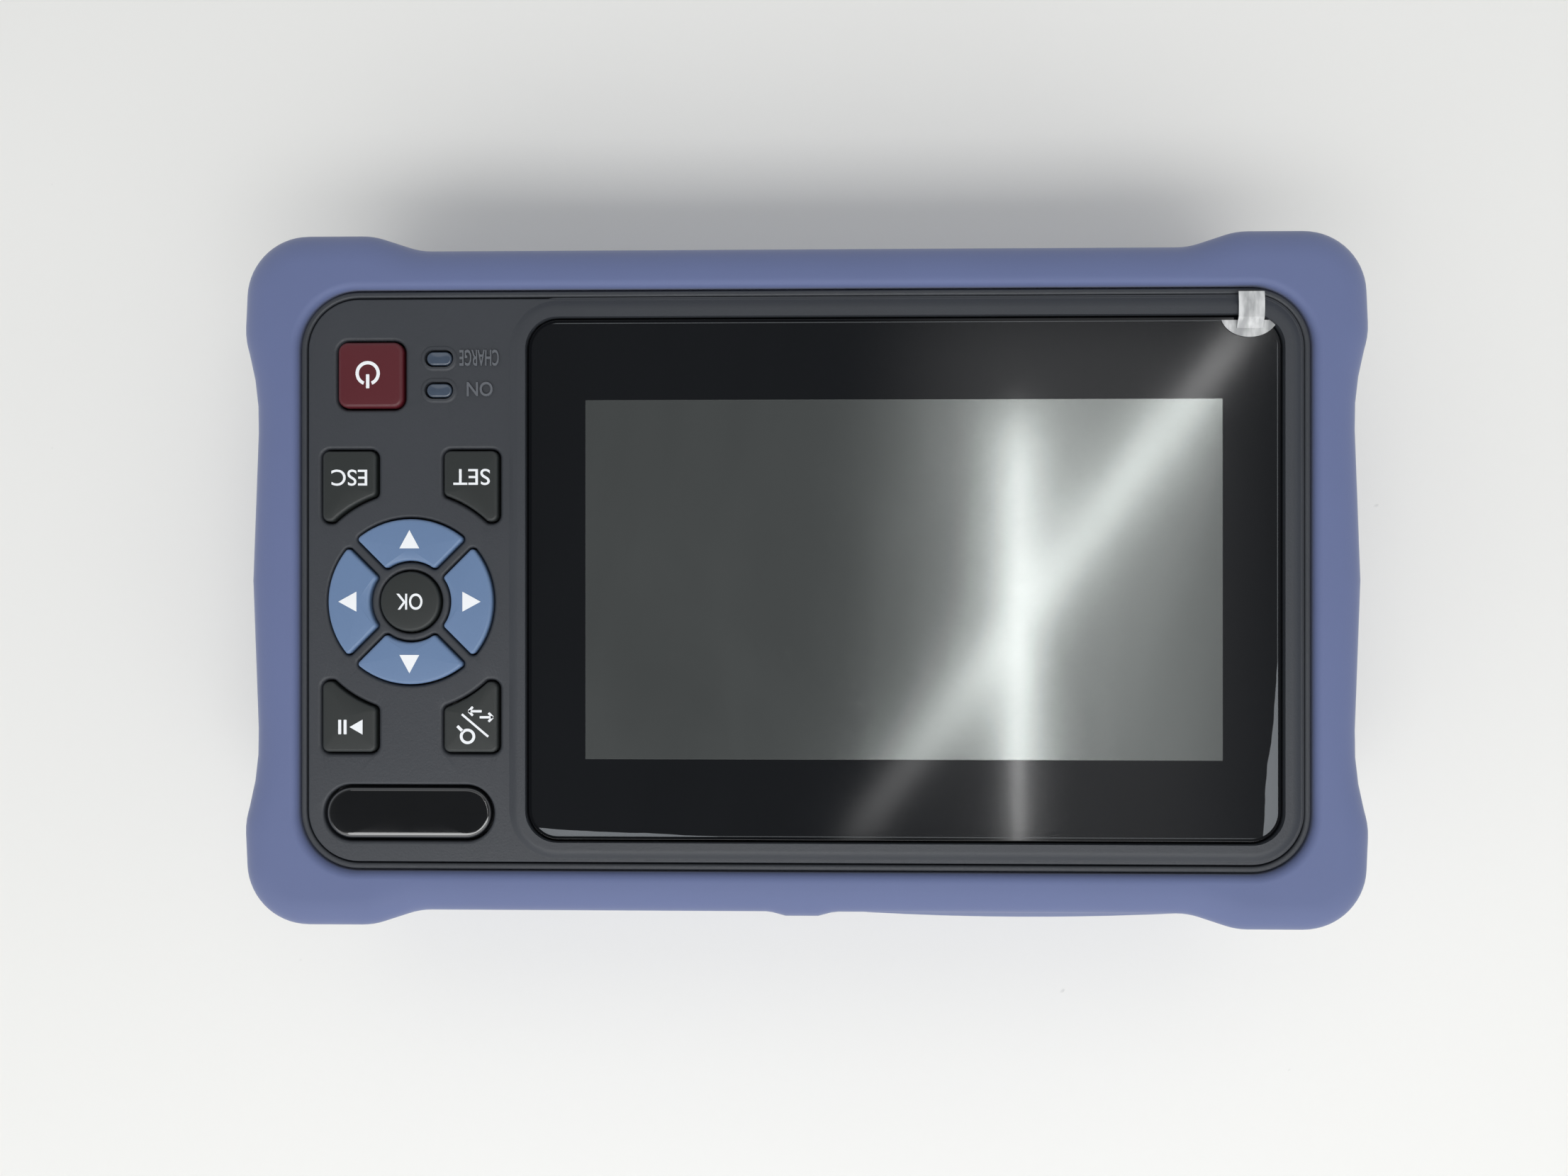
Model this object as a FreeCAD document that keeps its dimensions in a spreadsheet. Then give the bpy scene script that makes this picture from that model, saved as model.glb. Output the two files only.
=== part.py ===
import FreeCAD, Part
import math
import os
import re
import Sketcher

# Hand-held optical time domain reflectometer in a silicone boot.
# The instrument lies on its back: +Z points out of the screen, +X towards the keypad and
# +Y towards the edge with the ports.  The origin is the middle of the face it rests on.
# All sizes are in millimetres.

os.makedirs("parts", exist_ok=True)

doc = FreeCAD.newDocument("Reflectometer")
sheet = doc.addObject("Spreadsheet::Sheet", "Sizes")

# ---------------------------------------------------------------- driving dimensions
sizes = {
    # boot, seen from the front
    "boot_height": 42.0,
    "end_wall": 3.65,              # boot at the narrowest places of the short sides
    "side_wall": 3.65,             # boot along the straight long edges
    "end_bulge": 2.25,             # how far the corners stand out on the short sides
    "side_bulge": 2.35,            # how far the corners stand out on the long sides
    "bow_rise": 1.05,              # gentle bow in the middle of the short sides
    "corner_draw": 0.7,            # the short sides slant in towards the corners
    "waist_inset": 24.0,           # the next four are measured from the corners
    "bulge_inset": 15.7,
    "flat_inset": 19.8,
    "slope_inset": 27.0,
    "corner_radius": 9.0,
    "blend_radius": 11.0,
    "boot_edge": 3.4,
    "boot_bevel": 2.2,
    # boot, lips and openings
    "lip_thickness": 2.3,
    "lip_round": 0.6,
    "lip_cover_ends": 3.2,         # how far the lip laps over the housing
    "lip_cover_sides": 2.7,
    "window_radius": 9.1,
    "back_lip": 2.4,
    "back_cover_ends": 12.1,
    "back_cover_sides": 11.5,
    "back_window_radius": 9.0,
    "boot_fit": 0.1,
    "nub_base": 9.9,
    "nub_flat": 5.0,
    "nub_rise": 0.75,
    # housing halves
    "housing_radius": 12.0,
    "wall": 2.4,
    "tongue_height": 1.0,
    "tongue_width": 1.0,
    "face_drop": 1.0,              # face below the rim of the boot
    "rim_step": 0.4,
    "rim_gap": 0.3,
    "rim_width": 0.6,
    "face_round": 0.3,
    "face_thickness": 2.6,
    "back_rise": 1.0,              # back panel above the surface it rests on
    "back_gap": 0.4,
    "back_round": 0.8,
    # screen
    "screen_y": -0.1,
    "screen_margin": 3.7,          # from the end of the face to the glass
    "screen_border": 3.75,         # from the long sides of the face to the glass
    "keypad_field": 33.8,          # from the glass to the other end of the face
    "glass_border_ends": 3.5,      # glass beyond the display module
    "glass_border_sides": 5.55,
    "glass_radius": 4.6,
    "glass_gap": 0.25,
    "glass_thickness": 1.6,
    "glass_sink": 0.1,
    "gasket_thickness": 0.3,
    "gasket_margin": 0.4,
    "ledge_thickness": 2.8,
    "frame_margin": 2.4,
    "bead_width": 3.4,
    "bead_rise": 0.7,
    "bead_root": 0.3,
    "lcd_length": 105.5,
    "lcd_width": 67.2,
    "lcd_thickness": 3.1,
    "lcd_gap": 0.3,
    "lcd_round": 0.8,
    "display_round": 1.0,
    "cable_socket_half": 12.0,
    "cable_socket_near": 2.0,      # from the lower side of the display module
    "cable_socket_far": 8.0,
    "cable_socket_height": 1.2,
    "active_length": 95.04,
    "active_width": 53.86,
    "bezel_depth": 0.2,
    "film_margin": 0.6,
    "film_thickness": 0.12,
    "film_lift": 0.14,
    "film_bend_in": 1.0,           # the tab leaves the sheet this far from its edge
    "film_bend_out": 0.7,
    "film_bend_skew": 0.1,
    "film_tab_width": 3.8,
    "film_tab_inset": 4.8,
    "film_tab_reach": 4.2,
    # keys
    "key_gap": 0.25,
    "key_proud": 0.6,
    "key_round": 0.3,
    "key_travel": 0.8,
    "key_lift": 0.3,
    "flange_width": 0.7,
    "flange_thickness": 0.9,
    "opening_round": 0.4,
    "nav_inset": 16.1,             # from the end of the face to the middle of the OK key
    "nav_y": 3.2,
    "ok_radius": 4.53,
    "arrow_outer": 12.43,
    "arrow_inner": 6.16,
    "arrow_web": 1.87,
    "arrow_corner": 0.45,
    "corner_key_width": 8.15,
    "corner_key_offset": 9.2,
    "corner_key_near": 12.05,
    "corner_key_far": 22.65,
    "corner_key_notch": 16.8,
    "corner_key_round": 1.0,
    "corner_cut": 0.55,            # bevel for a round corner, as a share of its radius
    "power_inset": 10.1,
    "power_rise": 12.0,            # from the lower side of the face
    "power_side": 9.85,
    "power_round": 1.5,
    # lamps and badge
    "lamp_inset": 20.4,
    "on_lamp_rise": 2.3,           # above the middle of the power key
    "charge_lamp_drop": 2.5,       # below it
    "lamp_length": 3.9,
    "lamp_width": 2.15,
    "lamp_fit": 0.05,
    "lamp_proud": 0.1,
    "lamp_collar": 0.5,
    "collar_thickness": 0.8,
    "lamp_lift": 0.3,              # above the keypad membrane
    "badge_inset": 15.8,
    "badge_drop": 7.85,            # from the upper side of the face
    "badge_length": 25.2,
    "badge_width": 7.9,
    "badge_gap": 0.3,
    "badge_depth": 0.8,
    "badge_crown": 0.35,
    "badge_shoulder": 0.3,         # the bevel of the dome starts this far below the face
    # keypad board and membrane
    "keypad_depth": 3.8,           # from the inside of the face to the keypad board
    "keypad_reach": 28.4,          # board edges, measured from the sides of the face
    "keypad_overhang": 0.4,
    "keypad_rise": 8.1,
    "keypad_drop": 10.7,
    "keypad_round": 1.5,
    "board_thickness": 1.6,
    "mat_thickness": 0.6,
    "dome_height": 0.6,
    "dome_radius": 1.6,
    "dome_skirt": 0.6,
    "press_margin": 0.1,
    "post_half": 1.8,
    "post_reach": 24.8,
    "post_inset": 4.8,
    "post_above_power": 8.2,
    "post_above_keys": 3.45,
    "post_gap": 0.3,
    # screws
    "boss_half": 2.8,
    "boss_inset": 6.8,             # from the outside of the housing
    "screw_radius": 1.25,
    "screw_fit": 0.1,
    "screw_head": 2.2,
    "screw_head_height": 1.6,
    "head_fit": 0.3,
    "pilot_spare": 1.0,            # pilot hole beyond the end of its screw
    "screw_bite": 9.0,
    "board_post_inset": 8.1,
    "board_post_y": 20.0,
    "board_post_half": 2.6,
    "board_screw_radius": 1.0,
    "board_hole_fit": 0.2,
    "board_screw_head": 1.9,
    "board_screw_head_height": 1.3,
    "board_screw_bite": 6.0,
    "keypad_screw_head": 1.2,
    "keypad_screw_bite": 2.4,
    "keypad_screw_slim": 0.1,      # thinner than the screws of the main board
    "keypad_pilot_spare": 0.2,
    # pieces inside
    "board_gap": 2.4,
    "main_inset": 4.6,
    "main_rise": 15.5,
    "port_tail_gap": 0.3,
    "socket_tab_margin": 2.0,
    "chip_height": 1.8,
    "chip_side": 14.0,
    "left_chip_x": -40.0,
    "left_chip_y": 8.0,
    "middle_chip_x": 4.0,
    "middle_chip_y": 10.0,
    "right_chip_x": 50.0,
    "right_chip_y": -12.0,
    "can_x": -28.0,
    "can_y": -16.0,
    "can_length": 38.0,
    "can_width": 26.0,
    "can_height": 3.0,
    "can_round": 1.0,
    "buzzer_radius": 6.0,
    "buzzer_height": 4.0,
    "buzzer_hole": 1.2,
    "buzzer_hole_depth": 1.5,
    "buzzer_x": 30.0,
    "buzzer_y": -20.0,
    "module_inset": 13.1,
    "module_right": -9.0,
    "inner_rise": 14.5,            # module and battery, from the lower side of the housing
    "module_thickness": 12.0,
    "module_lid": 1.2,
    "module_lid_step": 0.6,
    "module_round": 2.0,
    "battery_left": 1.0,
    "battery_inset": 15.1,
    "battery_thickness": 13.5,
    "battery_round": 2.5,
    # optical port bay
    "bay_inset": 22.1,
    "bay_right": -10.0,
    "bay_floor_gap": 3.6,
    "bay_roof_gap": 0.7,
    "bay_wall": 1.5,
    "bay_depth": 13.4,
    "bay_fit": 0.1,
    "bay_round": 2.0,
    "port_margin": 0.5,
    "port_reach": 8.0,
    "port_bevel": 0.6,
    "port_tail": 4.3,
    "sc_length": 12.8,
    "sc_width": 9.4,
    "sc_mouth_length": 9.0,
    "sc_mouth_width": 7.4,
    "sc_mouth_depth": 8.4,
    "sc_flange_gap": 2.0,
    "sc_flange_margin": 1.2,
    "sc_key_half": 1.2,
    "sc_key_depth": 4.0,
    "sc_key_bite": 0.5,
    "flange_plate": 1.6,
    "sleeve_radius": 1.9,
    "sleeve_length": 3.6,
    "sleeve_root": 0.5,
    "ferrule_bore": 1.27,
    "ferrule_depth": 2.0,          # bore beyond the bottom of the mouth
    "meter_radius": 6.0,
    "locator_radius": 5.0,
    "port_fit": 0.1,
    # hinged covers
    "cover_gap": 0.3,
    "cover_seat": 0.3,
    "flap_overlap": 2.25,          # how far the flap laps over the room of the bay
    "flap_end_rise": 0.9,
    "flap_crown": 2.25,
    "flap_ridge": 3.0,             # from the top edge of the flap down to its ridge
    "flap_edge": 0.8,
    "pin_radius": 0.75,
    "pin_fit": 0.05,
    "barrel_radius": 1.6,
    "barrel_sink": 0.1,
    "lug_root": 0.5,
    "flap_heel": 3.5,              # thick foot of the flap, above its axis
    "flap_top_rise": 0.4,
    "lug_width": 2.2,
    "data_left": 15.0,
    "data_right": 47.0,
    "data_height": 15.0,
    "grip_half": 5.0,
    "grip_height": 1.4,
    "grip_depth": 1.2,
    "usb_inset": 9.5,
    "usb_width": 13.2,
    "usb_height": 5.8,
    "usb_shell": 0.5,
    "usb_length": 16.5,
    "usb_tongue": 1.9,
    "charge_inset": 8.5,
    "charge_width": 9.0,
    "charge_height": 3.3,
    "charge_shell": 0.35,
    "charge_length": 10.0,
    "charge_tongue": 0.7,
    "socket_fit": 0.15,
    "socket_sink": 0.3,            # socket mouths behind the outside of the housing
    "socket_tab_gap": 0.6,
    "usb_mouth_depth": 9.0,
    "usb_tongue_margin": 1.0,
    "usb_tongue_lift": 0.2,
    "charge_mouth_depth": 6.5,
    "tongue_sink": 1.0,            # tongue behind the mouth
    "tongue_root": 0.5,
    # fold-out stand
    "stand_length": 44.0,
    "stand_width": 58.0,
    "stand_thickness": 2.8,
    "stand_hinge_y": 21.0,
    "stand_gap": 0.6,
    "stand_corner": 5.0,
    "stand_slot_length": 22.0,
    "stand_slot_width": 34.0,
    "stand_slot_round": 3.0,
    "stand_recess": 1.2,
    "stand_barrel": 1.8,
    "stand_pin": 0.9,
    "stand_inset": 0.35,
    "well_depth": 4.6,
    "well_round": 3.0,
    "finger_width": 20.0,
    "finger_reach": 6.0,
}

for row, (alias, size) in enumerate(sizes.items(), start=1):
    sheet.set(f"A{row}", alias)
    sheet.set(f"B{row}", str(size))
    sheet.setAlias(f"B{row}", alias)
doc.recompute()

# ---------------------------------------------------------------- sizes that follow
# The display decides the glass, the glass and the keypad decide the face, and the housing
# and the boot follow outwards from there.
follows = {
    "glass_length": "lcd_length + 2 * glass_border_ends",
    "glass_width": "lcd_width + 2 * glass_border_sides",
    "face_length": "screen_margin + glass_length + keypad_field",
    "face_width": "glass_width + 2 * screen_border",
    "face_radius": "window_radius - rim_width - rim_gap",
    "screen_x": "screen_margin + glass_length / 2 - face_length / 2",
    "window_length": "face_length + 2 * (rim_width + rim_gap)",
    "window_width": "face_width + 2 * (rim_width + rim_gap)",
    "housing_length": "window_length + 2 * lip_cover_ends",
    "housing_width": "window_width + 2 * lip_cover_sides",
    "back_window_length": "housing_length - 2 * back_cover_ends",
    "back_window_width": "housing_width - 2 * back_cover_sides",
    "waist_length": "housing_length + 2 * end_wall",
    "edge_width": "housing_width + 2 * side_wall",
    "boot_length": "waist_length + 2 * end_bulge",
    "boot_width": "edge_width + 2 * side_bulge",
    "corner_length": "boot_length - 2 * corner_draw",
    "waist_reach": "boot_width / 2 - waist_inset",
    "bulge_reach": "boot_width / 2 - bulge_inset",
    "flat_reach": "boot_length / 2 - flat_inset",
    "slope_reach": "boot_length / 2 - slope_inset",
    "film_tab_x": "screen_x - glass_length / 2 + film_tab_inset",
    "nav_x": "face_length / 2 - nav_inset",
    "power_x": "face_length / 2 - power_inset",
    "power_y": "power_rise - face_width / 2",
    "lamp_x": "face_length / 2 - lamp_inset",
    "on_lamp_y": "power_y + on_lamp_rise",
    "charge_lamp_y": "power_y - charge_lamp_drop",
    "badge_x": "face_length / 2 - badge_inset",
    "badge_y": "face_width / 2 - badge_drop",
    "keypad_left": "face_length / 2 - keypad_reach",
    "keypad_right": "face_length / 2 + keypad_overhang",
    "keypad_low": "keypad_rise - face_width / 2",
    "keypad_high": "face_width / 2 - keypad_drop",
    "post_left": "face_length / 2 - post_reach",
    "post_right": "face_length / 2 - post_inset",
    "post_low": "power_y + post_above_power",
    "post_high": "nav_y + corner_key_far + post_above_keys",
    "boss_x": "housing_length / 2 - boss_inset",
    "boss_y": "housing_width / 2 - boss_inset",
    "board_post_x": "housing_length / 2 - board_post_inset",
    "main_right": "housing_length / 2 - main_inset",
    "main_left": "main_inset - housing_length / 2",
    "main_low": "main_rise - housing_width / 2",
    "module_left": "module_inset - housing_length / 2",
    "inner_low": "inner_rise - housing_width / 2",
    "battery_right": "housing_length / 2 - battery_inset",
    "bay_left": "bay_inset - housing_length / 2",
    "port_pitch": "(bay_right - bay_left - port_margin) / 3",
    "flap_left": "bay_left - flap_overlap",
    "flap_right": "bay_right + flap_overlap",
    "socket_tab_left": "data_left - socket_tab_margin",
    "socket_tab_right": "data_right + socket_tab_margin",
    "usb_x": "data_left + usb_inset",
    "charge_x": "data_right - charge_inset",
}

alias_pattern = re.compile(r"\b(" + "|".join(sizes) + r")\b")
follows_pattern = re.compile(r"\b(" + "|".join(follows) + r")\b")


def bind(formula):
    """Turn a formula of size names into an expression that the document understands."""
    text = str(formula)
    while follows_pattern.search(text):
        text = follows_pattern.sub(lambda match: f"({follows[match.group()]})", text)
    return alias_pattern.sub(r"Sizes.\1", text)


def value(formula):
    return float(sheet.evalExpression(bind(formula)))


# ---------------------------------------------------------------- named heights
SHOULDER = "(boot_height - lip_thickness - boot_fit)"
FACE = "(boot_height - face_drop)"
RIM = f"({FACE} - rim_step)"
CEILING = f"({FACE} - face_thickness)"
GLASS_TOP = f"({FACE} - glass_sink)"
GLASS_FOOT = f"({GLASS_TOP} - glass_thickness)"
LEDGE = f"({GLASS_FOOT} - gasket_thickness)"
FRAME_FOOT = f"({LEDGE} - ledge_thickness)"
KEYPAD_TOP = f"({CEILING} - keypad_depth)"
KEY_FOOT = f"({KEYPAD_TOP} + mat_thickness + dome_height + key_travel + press_margin)"
KEY_TOP = f"({FACE} + key_proud)"
REAR_SHOULDER = "(back_lip + boot_fit)"
FLOOR = f"({REAR_SHOULDER} + wall)"
WELL_TOP = "(back_rise + well_depth)"
WELL_FLOOR = f"({WELL_TOP} + wall)"
BAY_FOOT = f"({FLOOR} + bay_floor_gap + bay_wall)"
BAY_ROOF = f"({FRAME_FOOT} - bay_roof_gap - bay_wall)"
SPLIT = f"(({BAY_FOOT} + {BAY_ROOF}) / 2)"
MAIN_FOOT = f"({WELL_FLOOR} + battery_thickness + board_gap)"
MAIN_TOP = f"({MAIN_FOOT} + board_thickness)"

# ---------------------------------------------------------------- named places
OUTER_WALL = "(housing_width / 2)"
THROUGH_WALL = f"({OUTER_WALL} - wall - 0.5)"
BAY_BACK = f"({OUTER_WALL} - bay_fit - bay_depth)"
PORT_TIP = f"({BAY_BACK} + port_reach)"
PORT_MIDDLE = "((bay_left + bay_right) / 2)"
COVER_INSIDE = f"({OUTER_WALL} + cover_seat)"
COVER_OUTSIDE = "(edge_width / 2)"
HINGE_Y = f"({COVER_OUTSIDE} - barrel_radius - barrel_sink)"
FLAP_FOOT = f"({BAY_FOOT} - flap_overlap)"
FLAP_TOP = f"({BAY_ROOF} + flap_overlap)"
MAIN_HIGH = f"({BAY_BACK} - bay_wall - port_tail - port_tail_gap)"
DATA_MIDDLE = f"({MAIN_FOOT} - usb_height / 2)"
DATA_FOOT = f"({DATA_MIDDLE} - data_height / 2)"
DATA_TOP = f"({DATA_MIDDLE} + data_height / 2)"
STAND_AXIS = "(back_rise + stand_inset + stand_barrel)"


# ---------------------------------------------------------------- outlines
# An outline is a list of corners (x, y, turn).  turn is None where a straight line leads to
# the next corner, or the radius of an arc to it.  A radius that starts with "~" bends inwards.

def rounded(left, right, low, high, radius):
    return [
        (f"{left} + {radius}", low, None),
        (f"{right} - {radius}", low, radius),
        (right, f"{low} + {radius}", None),
        (right, f"{high} - {radius}", radius),
        (f"{right} - {radius}", high, None),
        (f"{left} + {radius}", high, radius),
        (left, f"{high} - {radius}", None),
        (left, f"{low} + {radius}", radius),
    ]


def centred(x, y, length, width, radius):
    return rounded(f"{x} - ({length}) / 2", f"{x} + ({length}) / 2",
                   f"{y} - ({width}) / 2", f"{y} + ({width}) / 2", radius)


def rectangle(left, right, low, high):
    return [(left, low, None), (right, low, None), (right, high, None), (left, high, None)]


def block(x, y, length, width):
    return rectangle(f"{x} - ({length}) / 2", f"{x} + ({length}) / 2",
                     f"{y} - ({width}) / 2", f"{y} + ({width}) / 2")


def centred_square(x, y, half):
    return block(x, y, f"2 * ({half})", f"2 * ({half})")


def pill(x, y, length, width):
    end = f"({width}) / 2"
    straight = f"(({length}) - ({width})) / 2"
    return [
        (f"{x} - {straight}", f"{y} - {end}", None),
        (f"{x} + {straight}", f"{y} - {end}", end),
        (f"{x} + {straight} + {end}", y, end),
        (f"{x} + {straight}", f"{y} + {end}", None),
        (f"{x} - {straight}", f"{y} + {end}", end),
        (f"{x} - {straight} - {end}", y, end),
    ]


def circle(x, y, radius):
    return ("circle", x, y, radius)


def add_circle(sketch, x, y, radius):
    centre = FreeCAD.Vector(value(x), value(y), 0)
    shape = Part.Circle(centre, FreeCAD.Vector(0, 0, 1), value(radius))
    index = sketch.addGeometry(shape, False)
    bind_constraint(sketch, "DistanceX", (-1, 1, index, 3), x)
    bind_constraint(sketch, "DistanceY", (-1, 1, index, 3), y)
    bind_constraint(sketch, "Radius", (index,), radius)


def bind_constraint(sketch, kind, places, formula):
    number = sketch.addConstraint(Sketcher.Constraint(kind, *places, value(formula)))
    sketch.setExpression(f"Constraints[{number}]", bind(formula))


def add_outline(sketch, corners):
    """Draw a closed outline and tie each corner and radius to its formula."""
    spots = [FreeCAD.Vector(value(x), value(y), 0) for x, y, turn in corners]
    first = sketch.GeometryCount
    ends = []
    for number, (x, y, turn) in enumerate(corners):
        start = spots[number]
        finish = spots[(number + 1) % len(spots)]
        if turn is None:
            sketch.addGeometry(Part.LineSegment(start, finish), False)
            ends.append((1, 2))
            continue
        inwards = str(turn).startswith("~")
        radius = value(str(turn).lstrip("~"))
        chord = finish - start
        height = math.sqrt(max(radius ** 2 - (chord.Length / 2) ** 2, 0.0))
        left = FreeCAD.Vector(-chord.y, chord.x, 0).normalize()
        side = -1 if inwards else 1
        centre = start + chord * 0.5 + left * (side * height)
        angles = [math.atan2(p.y - centre.y, p.x - centre.x) for p in (start, finish)]
        if inwards:
            angles.reverse()
        base = Part.Circle(centre, FreeCAD.Vector(0, 0, 1), radius)
        sketch.addGeometry(Part.ArcOfCircle(base, angles[0], angles[1]), False)
        ends.append((2, 1) if inwards else (1, 2))
    joints = []
    for number in range(len(corners)):
        after = (number + 1) % len(corners)
        joints.append(Sketcher.Constraint("Coincident", first + number, ends[number][1],
                                          first + after, ends[after][0]))
    sketch.addConstraint(joints)
    for number, (x, y, turn) in enumerate(corners):
        place = (-1, 1, first + number, ends[number][0])
        bind_constraint(sketch, "DistanceX", place, x)
        bind_constraint(sketch, "DistanceY", place, y)
        if turn is not None:
            bind_constraint(sketch, "Radius", (first + number,), str(turn).lstrip("~"))


# ---------------------------------------------------------------- features

def new_body(label):
    body = doc.addObject("PartDesign::Body", label)
    body.Label = label
    return body


def sketch_on(body, plane, name, outlines, height="0"):
    """Sketch outlines on an origin plane of the body, moved along the plane's normal."""
    sketch = body.newObject("Sketcher::SketchObject", f"{body.Label}_{name}")
    origin_plane = next(f for f in body.Origin.OriginFeatures if f.Role == plane)
    sketch.AttachmentSupport = [(origin_plane, "")]
    sketch.MapMode = "FlatFace"
    sketch.setExpression("AttachmentOffset.Base.z", bind(height))
    for outline in outlines:
        if outline[0] == "circle":
            add_circle(sketch, *outline[1:])
        else:
            add_outline(sketch, outline)
    doc.recompute()
    return sketch


def extrude(body, kind, name, sketch, length, other_way):
    feature = body.newObject(kind, f"{body.Label}_{name}")
    feature.Profile = sketch
    feature.setExpression("Length", bind(length))
    feature.Reversed = other_way
    before = body.Shape.Volume if kind == "PartDesign::Pocket" else 0.0
    doc.recompute()
    if kind == "PartDesign::Pocket" and feature.Shape.Volume > before - 1e-6:
        raise RuntimeError(f"{feature.Name} cuts nothing")
    return feature


def pad_up(body, name, outlines, low, high):
    """Raise outlines seen from the front from one height to another."""
    sketch = sketch_on(body, "XY_Plane", f"{name}_sketch", outlines, low)
    return extrude(body, "PartDesign::Pad", name, sketch, f"{high} - ({low})", False)


def cut_down(body, name, outlines, high, low):
    """Cut outlines seen from the front from one height down to another."""
    sketch = sketch_on(body, "XY_Plane", f"{name}_sketch", outlines, high)
    return extrude(body, "PartDesign::Pocket", name, sketch, f"{high} - ({low})", False)


def pad_along_y(body, name, outlines, near, far):
    """Outlines in X and Z, raised from one Y to a larger one."""
    sketch = sketch_on(body, "XZ_Plane", f"{name}_sketch", outlines, f"-({near})")
    return extrude(body, "PartDesign::Pad", name, sketch, f"{far} - ({near})", True)


def cut_along_y(body, name, outlines, far, near):
    """Outlines in X and Z, cut from one Y back to a smaller one."""
    sketch = sketch_on(body, "XZ_Plane", f"{name}_sketch", outlines, f"-({far})")
    return extrude(body, "PartDesign::Pocket", name, sketch, f"{far} - ({near})", True)


def pad_along_x(body, name, outlines, left, right):
    """Outlines in Y and Z, raised from one X to a larger one."""
    sketch = sketch_on(body, "YZ_Plane", f"{name}_sketch", outlines, left)
    return extrude(body, "PartDesign::Pad", name, sketch, f"{right} - ({left})", False)


def cut_along_x(body, name, outlines, right, left):
    """Outlines in Y and Z, cut from one X back to a smaller one."""
    sketch = sketch_on(body, "YZ_Plane", f"{name}_sketch", outlines, right)
    return extrude(body, "PartDesign::Pocket", name, sketch, f"{right} - ({left})", False)


def dress_edges(body, kind, name, size, chosen):
    """Round or bevel the edges of the body that the test picks."""
    names = [f"Edge{n}" for n, edge in enumerate(body.Shape.Edges, start=1) if chosen(edge)]
    if not names:
        raise RuntimeError(f"{body.Label}_{name} finds no edge")
    carrier = body.Tip
    feature = body.newObject(f"PartDesign::{kind}", f"{body.Label}_{name}")
    feature.Base = (carrier, names)
    feature.setExpression("Radius" if kind == "Fillet" else "Size", bind(size))
    doc.recompute()
    if "Invalid" in feature.State or feature.Shape.isNull():
        raise RuntimeError(f"{feature.Name} fails on {len(names)} edges")
    return feature


def round_edges(body, name, radius, chosen):
    return dress_edges(body, "Fillet", name, radius, chosen)


def bevel_edges(body, name, size, chosen):
    return dress_edges(body, "Chamfer", name, size, chosen)


def upright(edge):
    box = edge.BoundBox
    return box.ZLength > 0.5 and box.XLength < 1e-4 and box.YLength < 1e-4


def level(edge, height):
    box = edge.BoundBox
    return abs(box.ZMin - height) < 1e-4 and abs(box.ZMax - height) < 1e-4


def within(edge, left, right, low, high):
    box = edge.BoundBox
    inside_x = left - 1e-4 < box.XMin and box.XMax < right + 1e-4
    inside_y = low - 1e-4 < box.YMin and box.YMax < high + 1e-4
    return inside_x and inside_y


def rod(label, y, z, left, right, radius):
    """A plain round pin along X."""
    pin = doc.addObject("Part::Cylinder", label)
    pin.Label = label
    pin.setExpression("Radius", bind(radius))
    pin.setExpression("Height", bind(f"{right} - ({left})"))
    pin.Placement.Rotation = FreeCAD.Rotation(FreeCAD.Vector(0, 1, 0), 90)
    pin.setExpression("Placement.Base.x", bind(left))
    pin.setExpression("Placement.Base.y", bind(y))
    pin.setExpression("Placement.Base.z", bind(z))
    return pin


# ---------------------------------------------------------------- outlines of the keys

def power_outline(grow="0"):
    side = f"power_side + 2 * ({grow})"
    return centred("power_x", "power_y", side, side, f"(power_round + {grow})")


def ok_outline(grow="0"):
    return circle("nav_x", "nav_y", f"ok_radius + {grow}")


def arrow_outline(quarter, grow="0", reach="0"):
    """One quarter of the ring round the OK key, with straight webs on the diagonals.

    quarter counts from the right, anticlockwise; grow widens it all round, reach only
    outwards.
    """
    outer = f"(arrow_outer + {grow} + {reach})"
    inner = f"(arrow_inner - ({grow}))"
    web = f"(arrow_web / 2 - ({grow}))"
    corners = []
    for radius, side in ((outer, -1), (outer, 1), (inner, 1), (inner, -1)):
        angle = f"(45 deg - asin({web} / {radius}))"
        along = f"{radius} * cos({angle})"
        across = f"{side} * {radius} * sin({angle})"
        turned = {
            0: (along, across),
            1: (f"-({across})", along),
            2: (f"-({along})", f"-({across})"),
            3: (across, f"-({along})"),
        }[quarter]
        arc = {(outer, -1): outer, (inner, 1): f"~{inner}"}.get((radius, side))
        corners.append((f"nav_x + {turned[0]}", f"nav_y + {turned[1]}", arc))
    return corners


def corner_outline(side_x, side_y, grow="0"):
    """A corner key with a hollow side that follows the ring of arrow keys."""
    near_x = f"(corner_key_offset - corner_key_width / 2 - ({grow}))"
    far_x = f"(corner_key_offset + corner_key_width / 2 + {grow})"
    near_y = f"(corner_key_near - ({grow}))"
    far_y = f"(corner_key_far + {grow})"
    hollow = f"(corner_key_notch - ({grow}))"
    rise = f"sqrt({hollow}^2 - {near_x}^2)"
    run = f"sqrt({hollow}^2 - {near_y}^2)"
    notch = f"~{hollow}" if side_x * side_y > 0 else hollow
    corners = [
        (far_x, near_y, None),
        (far_x, far_y, None),
        (near_x, far_y, None),
        (near_x, rise, notch),
        (run, near_y, None),
    ]
    return [(f"nav_x + {side_x} * {x}", f"nav_y + {side_y} * {y}", turn)
            for x, y, turn in corners]


def from_nav(edge):
    """Distance of an upright edge from the middle of the OK key."""
    return math.hypot(edge.BoundBox.XMin - value("nav_x"), edge.BoundBox.YMin - value("nav_y"))


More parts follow.
